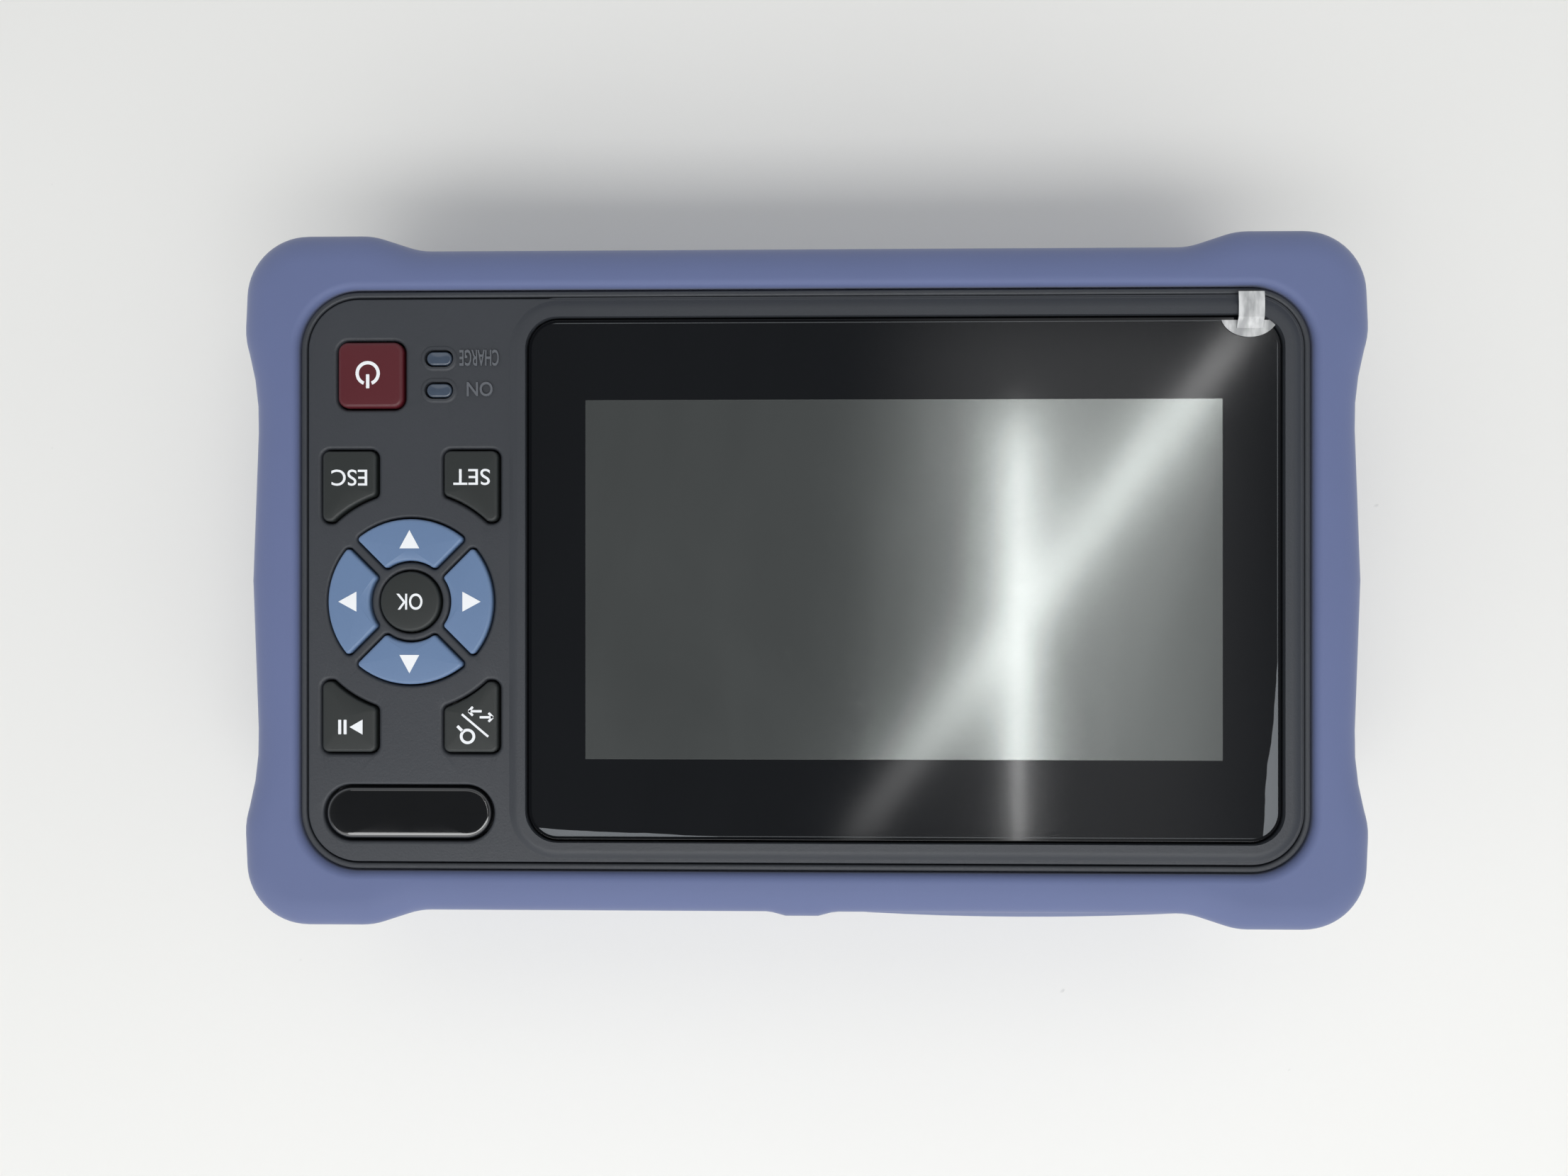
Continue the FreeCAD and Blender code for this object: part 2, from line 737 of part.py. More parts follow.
def cut_key_corners(body, grow="0"):
    """Bevel the upright corners of arrow keys and corner keys, or of their openings."""
    ring = value("arrow_outer") + 1.0
    clear = value("(ok_radius + arrow_inner) / 2")
    far = value("corner_key_far + 5")
    low = value("nav_y - corner_key_far") - 1.0
    left = value("nav_x - corner_key_offset - corner_key_width / 2") - 1.0

    def near_keys(edge):
        box = edge.BoundBox
        in_ring = clear < from_nav(edge) < far
        return upright(edge) and box.YMin > low and box.XMin > left and in_ring

    for name, radius, chosen in (
            ("arrow_corners", "arrow_corner", lambda e: near_keys(e) and from_nav(e) < ring),
            ("key_corners", "corner_key_round", lambda e: near_keys(e) and from_nav(e) > ring)):
        if any(chosen(edge) for edge in body.Shape.Edges):
            bevel_edges(body, name, f"({radius} + {grow}) * corner_cut", chosen)


# ---------------------------------------------------------------- silicone boot

def make_bumper():
    body = new_body("bumper")
    waist = ("waist_length / 2", "waist_reach")
    bulge = ("boot_length / 2", "bulge_reach")
    corner = ("corner_length / 2", "boot_width / 2")
    flat = ("flat_reach", "boot_width / 2")
    slope = ("slope_reach", "edge_width / 2")
    quarter = [waist, bulge, corner, flat, slope]
    bow = "((waist_reach^2 + bow_rise^2) / (2 * bow_rise))"
    outline = []
    for side_x, side_y in ((1, 1), (-1, 1), (-1, -1), (1, -1)):
        corners = quarter if side_x * side_y > 0 else quarter[::-1]
        for x, y in corners:
            before_bow = (x, y) == waist and side_x * side_y < 0
            outline.append((f"{side_x} * {x}", f"{side_y} * {y}", bow if before_bow else None))
    pad_up(body, "blank", [outline], "0", "boot_height")
    reach_x = value("corner_length / 2")
    reach_y = value("boot_width / 2")

    def at_corner(edge):
        x, y = abs(edge.BoundBox.XMin), abs(edge.BoundBox.YMin)
        return upright(edge) and abs(x - reach_x) < 1e-3 and abs(y - reach_y) < 1e-3

    round_edges(body, "corners", "corner_radius", at_corner)
    sharp = {(round(value(x), 3), round(value(y), 3)) for x, y in (waist, bulge, flat, slope)}

    def at_blend(edge):
        spot = (round(abs(edge.BoundBox.XMin), 3), round(abs(edge.BoundBox.YMin), 3))
        return upright(edge) and spot in sharp

    round_edges(body, "blends", "blend_radius", at_blend)
    top = value("boot_height")
    bevel_edges(body, "rims", "boot_bevel", lambda e: level(e, top) or level(e, 0.0))

    window = centred("0", "0", "window_length", "window_width", "window_radius")
    cut_down(body, "window", [window], "boot_height", "boot_height - lip_thickness")
    cavity = centred("0", "0", "housing_length + 2 * boot_fit", "housing_width + 2 * boot_fit",
                     "(housing_radius + boot_fit)")
    cut_down(body, "cavity", [cavity], "(boot_height - lip_thickness)", "back_lip")
    back = centred("0", "0", "back_window_length", "back_window_width", "back_window_radius")
    cut_down(body, "back_window", [back], "back_lip", "0")

    half_x, half_y = value("window_length / 2"), value("window_width / 2")
    back_x, back_y = value("back_window_length / 2"), value("back_window_width / 2")

    def at_lip(edge):
        front = level(edge, top) and within(edge, -half_x, half_x, -half_y, half_y)
        rear = level(edge, 0.0) and within(edge, -back_x, back_x, -back_y, back_y)
        return front or rear

    bevel_edges(body, "lips", "lip_round", at_lip)

    nub = [
        ("nub_base / 2", "edge_width / 2 - 1", None),
        ("nub_base / 2", "edge_width / 2", None),
        ("nub_flat / 2", "edge_width / 2 + nub_rise", None),
        ("-nub_flat / 2", "edge_width / 2 + nub_rise", None),
        ("-nub_base / 2", "edge_width / 2", None),
        ("-nub_base / 2", "edge_width / 2 - 1", None),
    ]
    pad_up(body, "nub", [nub], "boot_edge", "(boot_height - boot_edge)")
    flap_hole = rectangle("(flap_left - cover_gap - lug_width - cover_gap)",
                          "(flap_right + cover_gap + lug_width + cover_gap)",
                          f"({FLAP_FOOT} - cover_gap)", f"({FLAP_TOP} + cover_gap)")
    data_hole = rectangle("(data_left - cover_gap - lug_width - cover_gap)",
                          "(data_right + cover_gap + lug_width + cover_gap)",
                          f"({DATA_FOOT} - cover_gap)", f"({DATA_TOP} + cover_gap)")
    cut_along_y(body, "cover_holes", [flap_hole, data_hole], "boot_width / 2", OUTER_WALL)
    return body


# ---------------------------------------------------------------- housing halves

def bay_outline(grow="0"):
    """The port bay seen from the port edge, walls included."""
    return rounded(f"(bay_left - bay_wall - ({grow}))", f"(bay_right + bay_wall + {grow})",
                   f"({BAY_FOOT} - bay_wall - ({grow}))",
                   f"({BAY_ROOF} + bay_wall + {grow})",
                   f"(bay_round + bay_wall + {grow})")


def usb_outline(grow="0"):
    middle = f"({MAIN_FOOT} - usb_height / 2)"
    return rectangle(f"(usb_x - usb_width / 2 - ({grow}))", f"(usb_x + usb_width / 2 + {grow})",
                     f"({middle} - usb_height / 2 - ({grow}))",
                     f"({middle} + usb_height / 2 + {grow})")


def charge_outline(grow="0"):
    middle = f"({MAIN_FOOT} - charge_height / 2)"
    return centred("charge_x", middle, f"charge_width + 2 * ({grow})",
                   f"charge_height + 2 * ({grow})", f"(charge_height * 0.4 + {grow})")


def boss_places():
    """Case screws: one in each corner."""
    return [(f"{side_x} * boss_x", f"{side_y} * boss_y")
            for side_x in (-1, 1) for side_y in (-1, 1)]


def keypad_posts():
    return [(x, y) for x in ("post_left", "post_right") for y in ("post_low", "post_high")]


def board_posts():
    return [(f"{side_x} * board_post_x", f"{side_y} * board_post_y")
            for side_x in (-1, 1) for side_y in (-1, 1)]


def key_openings():
    arrows = [arrow_outline(quarter, "key_gap") for quarter in range(4)]
    corners = [corner_outline(side_x, side_y, "key_gap")
               for side_x in (-1, 1) for side_y in (-1, 1)]
    return [power_outline("key_gap"), ok_outline("key_gap")] + arrows + corners


def housing_outline(inset="0"):
    return centred("0", "0", f"housing_length - 2 * ({inset})", f"housing_width - 2 * ({inset})",
                   f"(housing_radius - ({inset}))")


def make_front_housing():
    body = new_body("front_housing")
    pad_up(body, "shell", [housing_outline()], SPLIT, SHOULDER)
    rim = centred("0", "0", "window_length - 2 * rim_gap", "window_width - 2 * rim_gap",
                  "(window_radius - rim_gap)")
    pad_up(body, "rim", [rim], SHOULDER, RIM)
    inset = "2 * (rim_gap + rim_width)"
    face = centred("0", "0", f"window_length - {inset}", f"window_width - {inset}",
                   "face_radius")
    pad_up(body, "face", [face], RIM, FACE)
    top = value(FACE)
    bevel_edges(body, "face_edge", "face_round", lambda e: level(e, top))
    cut = sketch_on(body, "XY_Plane", "hollow_sketch", [housing_outline("wall")],
                    SPLIT)
    extrude(body, "PartDesign::Pocket", "hollow", cut, f"{CEILING} - {SPLIT}", True)

    # screen frame: a rib round the display that carries the glass
    frame = centred("screen_x", "screen_y", "glass_length + 2 * frame_margin",
                    "glass_width + 2 * frame_margin", "(glass_radius + frame_margin)")
    pad_up(body, "screen_frame", [frame], FRAME_FOOT, CEILING)
    bead_sketch = sketch_on(body, "XY_Plane", "bead_path", [
        centred("screen_x", "screen_y", "glass_length + 2 * glass_gap",
                "glass_width + 2 * glass_gap", "(glass_radius + glass_gap)")], FACE)
    start = "screen_x + glass_length / 2 + glass_gap"
    low = f"({FACE} - bead_root)"
    high = f"({FACE} + bead_rise)"
    profile = [
        (start, low, None),
        (f"{start} + bead_width", low, None),
        (f"{start} + bead_width", FACE, None),
        (f"{start} + bead_width * 0.6", high, None),
        (f"{start} + bead_width * 0.2", high, None),
        (start, f"{FACE} + bead_rise * 0.5", None),
    ]
    section = sketch_on(body, "XZ_Plane", "bead_section", [profile], "-screen_y")
    bead = body.newObject("PartDesign::AdditivePipe", "front_housing_bead")
    bead.Profile = section
    bead.Spine = bead_sketch
    doc.recompute()
    recess = centred("screen_x", "screen_y", "glass_length + 2 * glass_gap",
                     "glass_width + 2 * glass_gap", "(glass_radius + glass_gap)")
    cut_down(body, "glass_recess", [recess], f"({FACE} + bead_rise)", LEDGE)
    display = centred("screen_x", "screen_y", "lcd_length + 2 * lcd_gap",
                      "lcd_width + 2 * lcd_gap", "display_round")
    cut_down(body, "display_opening", [display], LEDGE, FRAME_FOOT)

    cut_down(body, "key_openings", key_openings(), FACE, CEILING)
    cut_key_corners(body, "key_gap")
    opening_left = value("nav_x - corner_key_offset - corner_key_width / 2 - key_gap")
    opening_low = value("power_y - power_side / 2 - key_gap")
    opening_high = value("nav_y + corner_key_far + key_gap")
    bevel_edges(body, "opening_edges", "opening_round", lambda e: level(e, top) and within(
        e, opening_left, value("boss_x + boss_half"), opening_low, opening_high))
    lamps = [pill("lamp_x", y, "lamp_length + 2 * lamp_fit", "lamp_width + 2 * lamp_fit")
             for y in ("on_lamp_y", "charge_lamp_y")]
    cut_down(body, "lamp_windows", lamps, FACE, CEILING)
    badge = pill("badge_x", "badge_y", "badge_length + 2 * badge_gap",
                 "badge_width + 2 * badge_gap")
    cut_down(body, "badge_recess", [badge], FACE, f"({FACE} - badge_depth)")

    # inside: screw bosses and the posts that carry the keypad board
    bosses = [centred_square(x, y, "boss_half") for x, y in boss_places()]
    pad_up(body, "bosses", bosses, SPLIT, CEILING)
    posts = [centred_square(x, y, "post_half") for x, y in keypad_posts()]
    pad_up(body, "posts", posts, KEYPAD_TOP, CEILING)
    pilots = [circle(x, y, "screw_radius") for x, y in boss_places()]
    drill = sketch_on(body, "XY_Plane", "pilot_sketch", pilots, SPLIT)
    extrude(body, "PartDesign::Pocket", "pilots", drill, "screw_bite + pilot_spare", True)

    small = [circle(x, y, "(board_screw_radius - keypad_screw_slim)") for x, y in keypad_posts()]
    drill = sketch_on(body, "XY_Plane", "post_pilot_sketch", small, KEYPAD_TOP)
    extrude(body, "PartDesign::Pocket", "post_pilots", drill,
            "keypad_screw_bite + keypad_pilot_spare", True)

    # the rebate takes the tongue of the rear housing
    rebate = sketch_on(body, "XY_Plane", "rebate_sketch", [
        housing_outline("(wall - tongue_width - boot_fit)"), housing_outline("wall")],
        SPLIT)
    extrude(body, "PartDesign::Pocket", "rebate", rebate, "tongue_height + boot_fit", True)
    openings = [bay_outline("bay_fit"), usb_outline("socket_fit"), charge_outline("socket_fit")]
    cut_along_y(body, "port_openings", openings, OUTER_WALL, THROUGH_WALL)
    return body


def make_rear_housing():
    body = new_body("rear_housing")
    pad_up(body, "shell", [housing_outline()], REAR_SHOULDER, SPLIT)
    panel = centred("0", "0", "back_window_length - 2 * back_gap",
                    "back_window_width - 2 * back_gap", "(back_window_radius - back_gap)")
    pad_up(body, "back_panel", [panel], "back_rise", REAR_SHOULDER)
    low = value("back_rise")
    bevel_edges(body, "back_edge", "back_round", lambda e: level(e, low))
    cut_down(body, "hollow", [housing_outline("wall")], SPLIT, FLOOR)
    tongue_outside = "(wall - tongue_width)"
    pad_up(body, "tongue", [housing_outline(tongue_outside), housing_outline("wall")],
           f"({SPLIT} - 1)", f"({SPLIT} + tongue_height)")

    # well for the fold-out stand
    middle = "(stand_hinge_y + stand_barrel - stand_length / 2 - stand_barrel / 2)"
    length = "stand_length + stand_barrel + 2 * stand_gap"
    width = "stand_width + 2 * stand_gap"
    walls = centred("0", middle, f"({width} + 2 * lug_width + 2 * wall)",
                    f"({length} + 2 * wall)", "well_round")
    pad_up(body, "well_block", [walls], FLOOR, WELL_FLOOR)
    well = centred("0", middle, width, length, "(stand_corner + stand_gap)")
    cut_down(body, "well", [well], WELL_TOP, "back_rise")
    hinge_slot = rectangle("(-stand_width / 2 - stand_gap)", "(stand_width / 2 + stand_gap)",
                           "(stand_hinge_y - stand_barrel - stand_gap)",
                           "(stand_hinge_y + stand_barrel + stand_gap)")
    cut_down(body, "hinge_slot", [hinge_slot], WELL_TOP, "back_rise")
    finger = centred("0", "stand_hinge_y - stand_length", "finger_width",
                     "2 * finger_reach", "(finger_reach * 0.6)")
    cut_down(body, "finger_notch", [finger], "(back_rise + stand_thickness)", "back_rise")
    pin_hole = [circle("stand_hinge_y", STAND_AXIS, "stand_pin + pin_fit / 2")]
    cut_along_x(body, "stand_pin_hole", pin_hole, "(stand_width / 2 + stand_gap + lug_width)",
                "(-stand_width / 2 - stand_gap - lug_width)")

    # inside: screw bosses and posts for the main board
    bosses = [centred_square(x, y, "boss_half") for x, y in boss_places()]
    pad_up(body, "bosses", bosses, FLOOR, SPLIT)
    posts = [centred_square(x, y, "board_post_half") for x, y in board_posts()]
    pad_up(body, "posts", posts, FLOOR, MAIN_FOOT)
    holes = [circle(x, y, "screw_radius + screw_fit") for x, y in boss_places()]
    cut_down(body, "screw_holes", holes, SPLIT, REAR_SHOULDER)
    heads = [circle(x, y, "screw_head + head_fit") for x, y in boss_places()]
    head_top = f"({REAR_SHOULDER} + screw_head_height)"
    cut_down(body, "screw_heads", heads, head_top, REAR_SHOULDER)
    pilots = [circle(x, y, "board_screw_radius") for x, y in board_posts()]
    pilot_end = f"({MAIN_FOOT} - board_screw_bite - pilot_spare)"
    cut_down(body, "board_pilots", pilots, MAIN_FOOT, pilot_end)

    openings = [bay_outline("bay_fit"), usb_outline("socket_fit"), charge_outline("socket_fit")]
    cut_along_y(body, "port_openings", openings, OUTER_WALL, THROUGH_WALL)

    # lugs that carry the hinge pins of the two port covers
    for name, left, right, foot in (("flap", "flap_left", "flap_right", FLAP_FOOT),
                                    ("data", "data_left", "data_right", DATA_FOOT)):
        lugs = [rectangle(f"({left} - cover_gap - lug_width)", f"({left} - cover_gap)",
                          foot, f"({foot} + 2 * barrel_radius)"),
                rectangle(f"({right} + cover_gap)", f"({right} + cover_gap + lug_width)",
                          foot, f"({foot} + 2 * barrel_radius)")]
        pad_along_y(body, f"{name}_lugs", lugs, f"({OUTER_WALL} - lug_root)", COVER_OUTSIDE)
        hole = [circle(HINGE_Y, f"({foot} + barrel_radius)", "pin_radius + pin_fit / 2")]
        cut_along_x(body, f"{name}_pin_hole", hole, f"({right} + cover_gap + lug_width)",
                    f"({left} - cover_gap - lug_width)")
    return body


# ---------------------------------------------------------------- screen

def screen_outline(inset="0"):
    return centred("screen_x", "screen_y", f"glass_length - 2 * ({inset})",
                   f"glass_width - 2 * ({inset})", f"(glass_radius - ({inset}))")


def make_screen():
    glass = new_body("cover_glass")
    pad_up(glass, "pane", [screen_outline()], GLASS_FOOT, GLASS_TOP)

    gasket = new_body("glass_gasket")
    inside = centred("screen_x", "screen_y", "lcd_length + 2 * lcd_gap + 2 * gasket_margin",
                     "lcd_width + 2 * lcd_gap + 2 * gasket_margin", "display_round")
    pad_up(gasket, "ring", [screen_outline("gasket_margin"), inside], LEDGE, GLASS_FOOT)

    display = new_body("lcd_module")
    frame = centred("screen_x", "screen_y", "lcd_length", "lcd_width", "lcd_round")
    low = f"({GLASS_FOOT} - lcd_thickness)"
    pad_up(display, "frame", [frame], low, GLASS_FOOT)
    active = rectangle("(screen_x - active_length / 2)", "(screen_x + active_length / 2)",
                       "(screen_y - active_width / 2)", "(screen_y + active_width / 2)")
    cut_down(display, "bezel", [active], GLASS_FOOT, f"({GLASS_FOOT} - bezel_depth)")
    side = "(screen_y - lcd_width / 2)"
    tail = rectangle("(screen_x - cable_socket_half)", "(screen_x + cable_socket_half)",
                     f"({side} + cable_socket_near)", f"({side} + cable_socket_far)")
    pad_up(display, "cable_socket", [tail], f"({low} - cable_socket_height)", low)

    # protective film with a pull tab that climbs over the bead
    film = new_body("screen_film")
    pad_up(film, "sheet", [screen_outline("film_margin")], GLASS_TOP,
           f"({GLASS_TOP} + film_thickness)")
    edge = "(screen_y - glass_width / 2 + film_margin)"
    crest = f"({FACE} + bead_rise + film_lift)"
    steps = [(f"{edge} + film_bend_in", GLASS_TOP),
             (f"{edge} + film_bend_in", f"{GLASS_TOP} + film_thickness"),
             (f"{edge} - film_bend_out", f"{crest} + film_thickness"),
             (f"{edge} - film_tab_reach", f"{crest} + film_thickness"),
             (f"{edge} - film_tab_reach", crest),
             (f"{edge} - film_bend_out + film_bend_skew", crest),
             (f"{edge} + film_bend_in - film_bend_skew", GLASS_TOP)]
    pad_along_x(film, "tab", [[(y, z, None) for y, z in steps]],
                "(film_tab_x - film_tab_width / 2)", "(film_tab_x + film_tab_width / 2)")

    badge = new_body("badge_dome")
    dome = pill("badge_x", "badge_y", "badge_length", "badge_width")
    top = f"({FACE} + badge_crown)"
    pad_up(badge, "dome", [dome], f"({FACE} - badge_depth)", top)
    highest = value(top)
    bevel_edges(badge, "crown", "badge_crown + badge_shoulder", lambda e: level(e, highest))

    lamps = []
    for name, y in (("on", "on_lamp_y"), ("charge", "charge_lamp_y")):
        lamp = new_body(f"{name}_light_pipe")
        window = pill("lamp_x", y, "lamp_length", "lamp_width")
        pad_up(lamp, "window", [window], f"({KEYPAD_TOP} + mat_thickness + lamp_lift)",
               f"({FACE} + lamp_proud)")
        half_x, half_y = "(lamp_length / 2 + lamp_collar)", "(lamp_width / 2 + lamp_collar)"
        collar = rectangle(f"lamp_x - {half_x}", f"lamp_x + {half_x}", f"{y} - {half_y}",
                           f"{y} + {half_y}")
        pad_up(lamp, "collar", [collar], f"({CEILING} - collar_thickness)", CEILING)
        lamps.append(lamp)
    return [glass, gasket, display, film, badge] + lamps


# ---------------------------------------------------------------- keys and keypad

def make_key(label, outline):
    """A key cap on a stem, held under the face by a flange."""
    body = new_body(label)
    high = f"({CEILING} - key_lift)"
    pad_up(body, "cap", [outline("0")], f"({high} - flange_thickness)", KEY_TOP)
    cut_key_corners(body)
    top = value(KEY_TOP)
    bevel_edges(body, "cap_edge", "key_round", lambda e: level(e, top))
    return body, high


def add_stem(body, x, y):
    foot = centred_square(x, y, "dome_radius")
    pad_up(body, "stem", [foot], KEY_FOOT, f"({CEILING} - key_lift - flange_thickness)")


def make_keys():
    keys = []
    under = "key_gap + flange_width"
    flange_foot = f"({CEILING} - key_lift - flange_thickness)"

    def finish(body, flange, high, x, y):
        pad_up(body, "flange", [flange], flange_foot, high)
        add_stem(body, x, y)
        keys.append(body)

    body, high = make_key("power_key", power_outline)
    finish(body, power_outline(under), high, "power_x", "power_y")
    body, high = make_key("ok_key", ok_outline)
    finish(body, ok_outline("key_gap + flange_width * 0.6"), high, "nav_x", "nav_y")

    middle = "(arrow_outer + arrow_inner) / 2"
    for quarter, name in enumerate(("right", "up", "left", "down")):
        body, high = make_key(f"{name}_key", lambda grow, q=quarter: arrow_outline(q, grow))
        x, y = ((f"nav_x + {middle}", "nav_y"), ("nav_x", f"nav_y + {middle}"),
                (f"nav_x - {middle}", "nav_y"), ("nav_x", f"nav_y - {middle}"))[quarter]
        finish(body, arrow_outline(quarter, "0", under), high, x, y)

    places = {"escape_key": (1, -1), "set_key": (-1, -1), "run_key": (1, 1), "mode_key": (-1, 1)}
    reach = "(corner_key_near + corner_key_far) / 2 + 1"
    for label, (side_x, side_y) in places.items():
        body, high = make_key(label, lambda g, a=side_x, b=side_y: corner_outline(a, b, g))
        x = f"nav_x + {side_x} * corner_key_offset"
        flange = corner_flange(side_x, side_y, under)
        finish(body, flange, high, x, f"nav_y + {side_y} * ({reach})")
    return keys


def corner_flange(side_x, side_y, grow):
    """The flange of a corner key reaches out on its two straight outer sides only."""
    near_x = "(corner_key_offset - corner_key_width / 2)"
    far_x = f"(corner_key_offset + corner_key_width / 2 + {grow})"
    low = "(corner_key_notch)"
    far_y = f"(corner_key_far + {grow})"
    return [(f"nav_x + {side_x} * {x}", f"nav_y + {side_y} * {y}", None)
            for x, y in ((near_x, low), (far_x, low), (far_x, far_y), (near_x, far_y))]


def key_centres():
    """Where each key's stem comes down."""
    middle = "(arrow_outer + arrow_inner) / 2"
    reach = "((corner_key_near + corner_key_far) / 2 + 1)"
    centres = [("power_x", "power_y"), ("nav_x", "nav_y")]
    for side in (-1, 1):
        centres.append((f"nav_x + {side} * {middle}", "nav_y"))
        centres.append(("nav_x", f"nav_y + {side} * {middle}"))
    for side_x in (-1, 1):
        for side_y in (-1, 1):
            centres.append((f"nav_x + {side_x} * corner_key_offset",
                            f"nav_y + {side_y} * {reach}"))
    return centres


def make_keypad():
    area = centred("(keypad_left + keypad_right) / 2", "(keypad_low + keypad_high) / 2",
                   "keypad_right - keypad_left", "keypad_high - keypad_low", "keypad_round")
    board = new_body("keypad_board")
    screw_holes = [circle(x, y, "board_screw_radius") for x, y in keypad_posts()]
    pad_up(board, "board", [area] + screw_holes, f"({KEYPAD_TOP} - board_thickness)",
           KEYPAD_TOP)

    mat = new_body("keypad_membrane")
    holes = [centred_square(x, y, "post_half + post_gap") for x, y in keypad_posts()]
    mat_top = f"({KEYPAD_TOP} + mat_thickness)"
    pad_up(mat, "sheet", [area] + holes, KEYPAD_TOP, mat_top)
    domes = [centred_square(x, y, "dome_radius + dome_skirt") for x, y in key_centres()]
    pad_up(mat, "domes", domes, mat_top, f"({mat_top} + dome_height)")
    return [board, mat]


# ---------------------------------------------------------------- inside the case

def make_main_board():
    body = new_body("main_board")
    tab_edge = f"({OUTER_WALL} - wall - socket_tab_gap)"
    outline = [
        ("main_left", "main_low", None), ("main_right", "main_low", None),
        ("main_right", MAIN_HIGH, None), ("socket_tab_right", MAIN_HIGH, None),
        ("socket_tab_right", tab_edge, None), ("socket_tab_left", tab_edge, None),
        ("socket_tab_left", MAIN_HIGH, None), ("main_left", MAIN_HIGH, None),
    ]
    holes = [circle(x, y, "board_screw_radius + board_hole_fit") for x, y in board_posts()]
    pad_up(body, "board", [outline] + holes, MAIN_FOOT, MAIN_TOP)
    chips = [centred_square(f"{place}_chip_x", f"{place}_chip_y", "chip_side / 2")
             for place in ("left", "middle", "right")]
    pad_up(body, "chips", chips, MAIN_TOP, f"({MAIN_TOP} + chip_height)")

    can = new_body("board_shield")
    pad_up(can, "can", [centred("can_x", "can_y", "can_length", "can_width", "can_round")],
           MAIN_TOP, f"({MAIN_TOP} + can_height)")

    buzzer = new_body("buzzer")
    pad_up(buzzer, "case", [circle("buzzer_x", "buzzer_y", "buzzer_radius")], MAIN_TOP,
           f"({MAIN_TOP} + buzzer_height)")
    cut_down(buzzer, "sound_hole", [circle("buzzer_x", "buzzer_y", "buzzer_hole")],
             f"({MAIN_TOP} + buzzer_height)",
             f"({MAIN_TOP} + buzzer_height - buzzer_hole_depth)")
    return [body, can, buzzer]


def make_power_and_optics():
    module = new_body("optical_module")
    middle_x = "(module_left + module_right) / 2"
    middle_y = f"(inner_low + {MAIN_HIGH}) / 2"
    length = "module_right - module_left"
    width = f"{MAIN_HIGH} - inner_low"
    pad_up(module, "case", [centred(middle_x, middle_y, length, width, "module_round")],
           WELL_FLOOR,
           f"({WELL_FLOOR} + module_thickness - module_lid)")
    pad_up(module, "lid", [centred(middle_x, middle_y, f"({length} - 2 * module_lid_step)",
                                   f"({width} - 2 * module_lid_step)",
                                   "(module_round - module_lid_step)")],
           f"({WELL_FLOOR} + module_thickness - module_lid)",
           f"({WELL_FLOOR} + module_thickness)")

    battery = new_body("battery_pack")
    middle_x = "(battery_left + battery_right) / 2"
    middle_y = f"(inner_low + {MAIN_HIGH}) / 2"
    pad_up(battery, "cells", [centred(middle_x, middle_y, "battery_right - battery_left",
                                      f"{MAIN_HIGH} - inner_low", "battery_round")],
           WELL_FLOOR, f"({WELL_FLOOR} + battery_thickness)")
    return [module, battery]


# ---------------------------------------------------------------- ports

def port_places():
    """X of the reflectometer port, the power meter port and the fault locator port."""
    return (f"({PORT_MIDDLE} - port_pitch)", PORT_MIDDLE, f"({PORT_MIDDLE} + port_pitch)")


def make_port_bay():
    body = new_body("port_bay")
    front = f"({OUTER_WALL} - bay_fit)"
    back = f"({BAY_BACK} - bay_wall)"
    pad_along_y(body, "tub", [bay_outline()], back, front)
    room = rounded("bay_left", "bay_right", BAY_FOOT,
                   BAY_ROOF, "bay_round")
    cut_along_y(body, "room", [room], front, BAY_BACK)
    sc, meter, locator = port_places()
    holes = [block(sc, SPLIT, "sc_width + 2 * port_fit", "sc_length + 2 * port_fit"),
             circle(meter, SPLIT, "meter_radius * 0.7 + port_fit"),
             circle(locator, SPLIT, "locator_radius * 0.7 + port_fit")]
    cut_along_y(body, "port_holes", holes, BAY_BACK, back)
    return body


def make_sc_adapter():
    """Square push-pull adapter with a sleeve in the middle of its mouth."""
    body = new_body("otdr_adapter")
    x = port_places()[0]
    tail = f"({BAY_BACK} - bay_wall - port_tail)"
    outline = block(x, SPLIT, "sc_width", "sc_length")
    pad_along_y(body, "barrel", [outline], tail, PORT_TIP)
    flange = block(x, SPLIT, "sc_width + 2 * sc_flange_margin",
                   f"{BAY_ROOF} - {BAY_FOOT} - 2 * sc_flange_gap")
    pad_along_y(body, "flange", [flange], BAY_BACK, f"({BAY_BACK} + flange_plate)")
    mouth = block(x, SPLIT, "sc_mouth_width", "sc_mouth_length")
    bottom = f"({PORT_TIP} - sc_mouth_depth)"
    cut_along_y(body, "mouth", [mouth], PORT_TIP, bottom)
    pad_along_y(body, "sleeve", [circle(x, SPLIT, "sleeve_radius")],
                f"({bottom} - sleeve_root)", f"({bottom} + sleeve_length)")
    cut_along_y(body, "ferrule_bore", [circle(x, SPLIT, "ferrule_bore")],
                f"({bottom} + sleeve_length)", f"({bottom} - ferrule_depth)")
    keyway = rectangle(f"({x} - sc_width / 2 - 1)", f"({x} - sc_mouth_width / 2 + sc_key_bite)",
                       f"({SPLIT} - sc_key_half)", f"({SPLIT} + sc_key_half)")
    cut_along_y(body, "keyway", [keyway], PORT_TIP, f"({PORT_TIP} - sc_key_depth)")
    return body


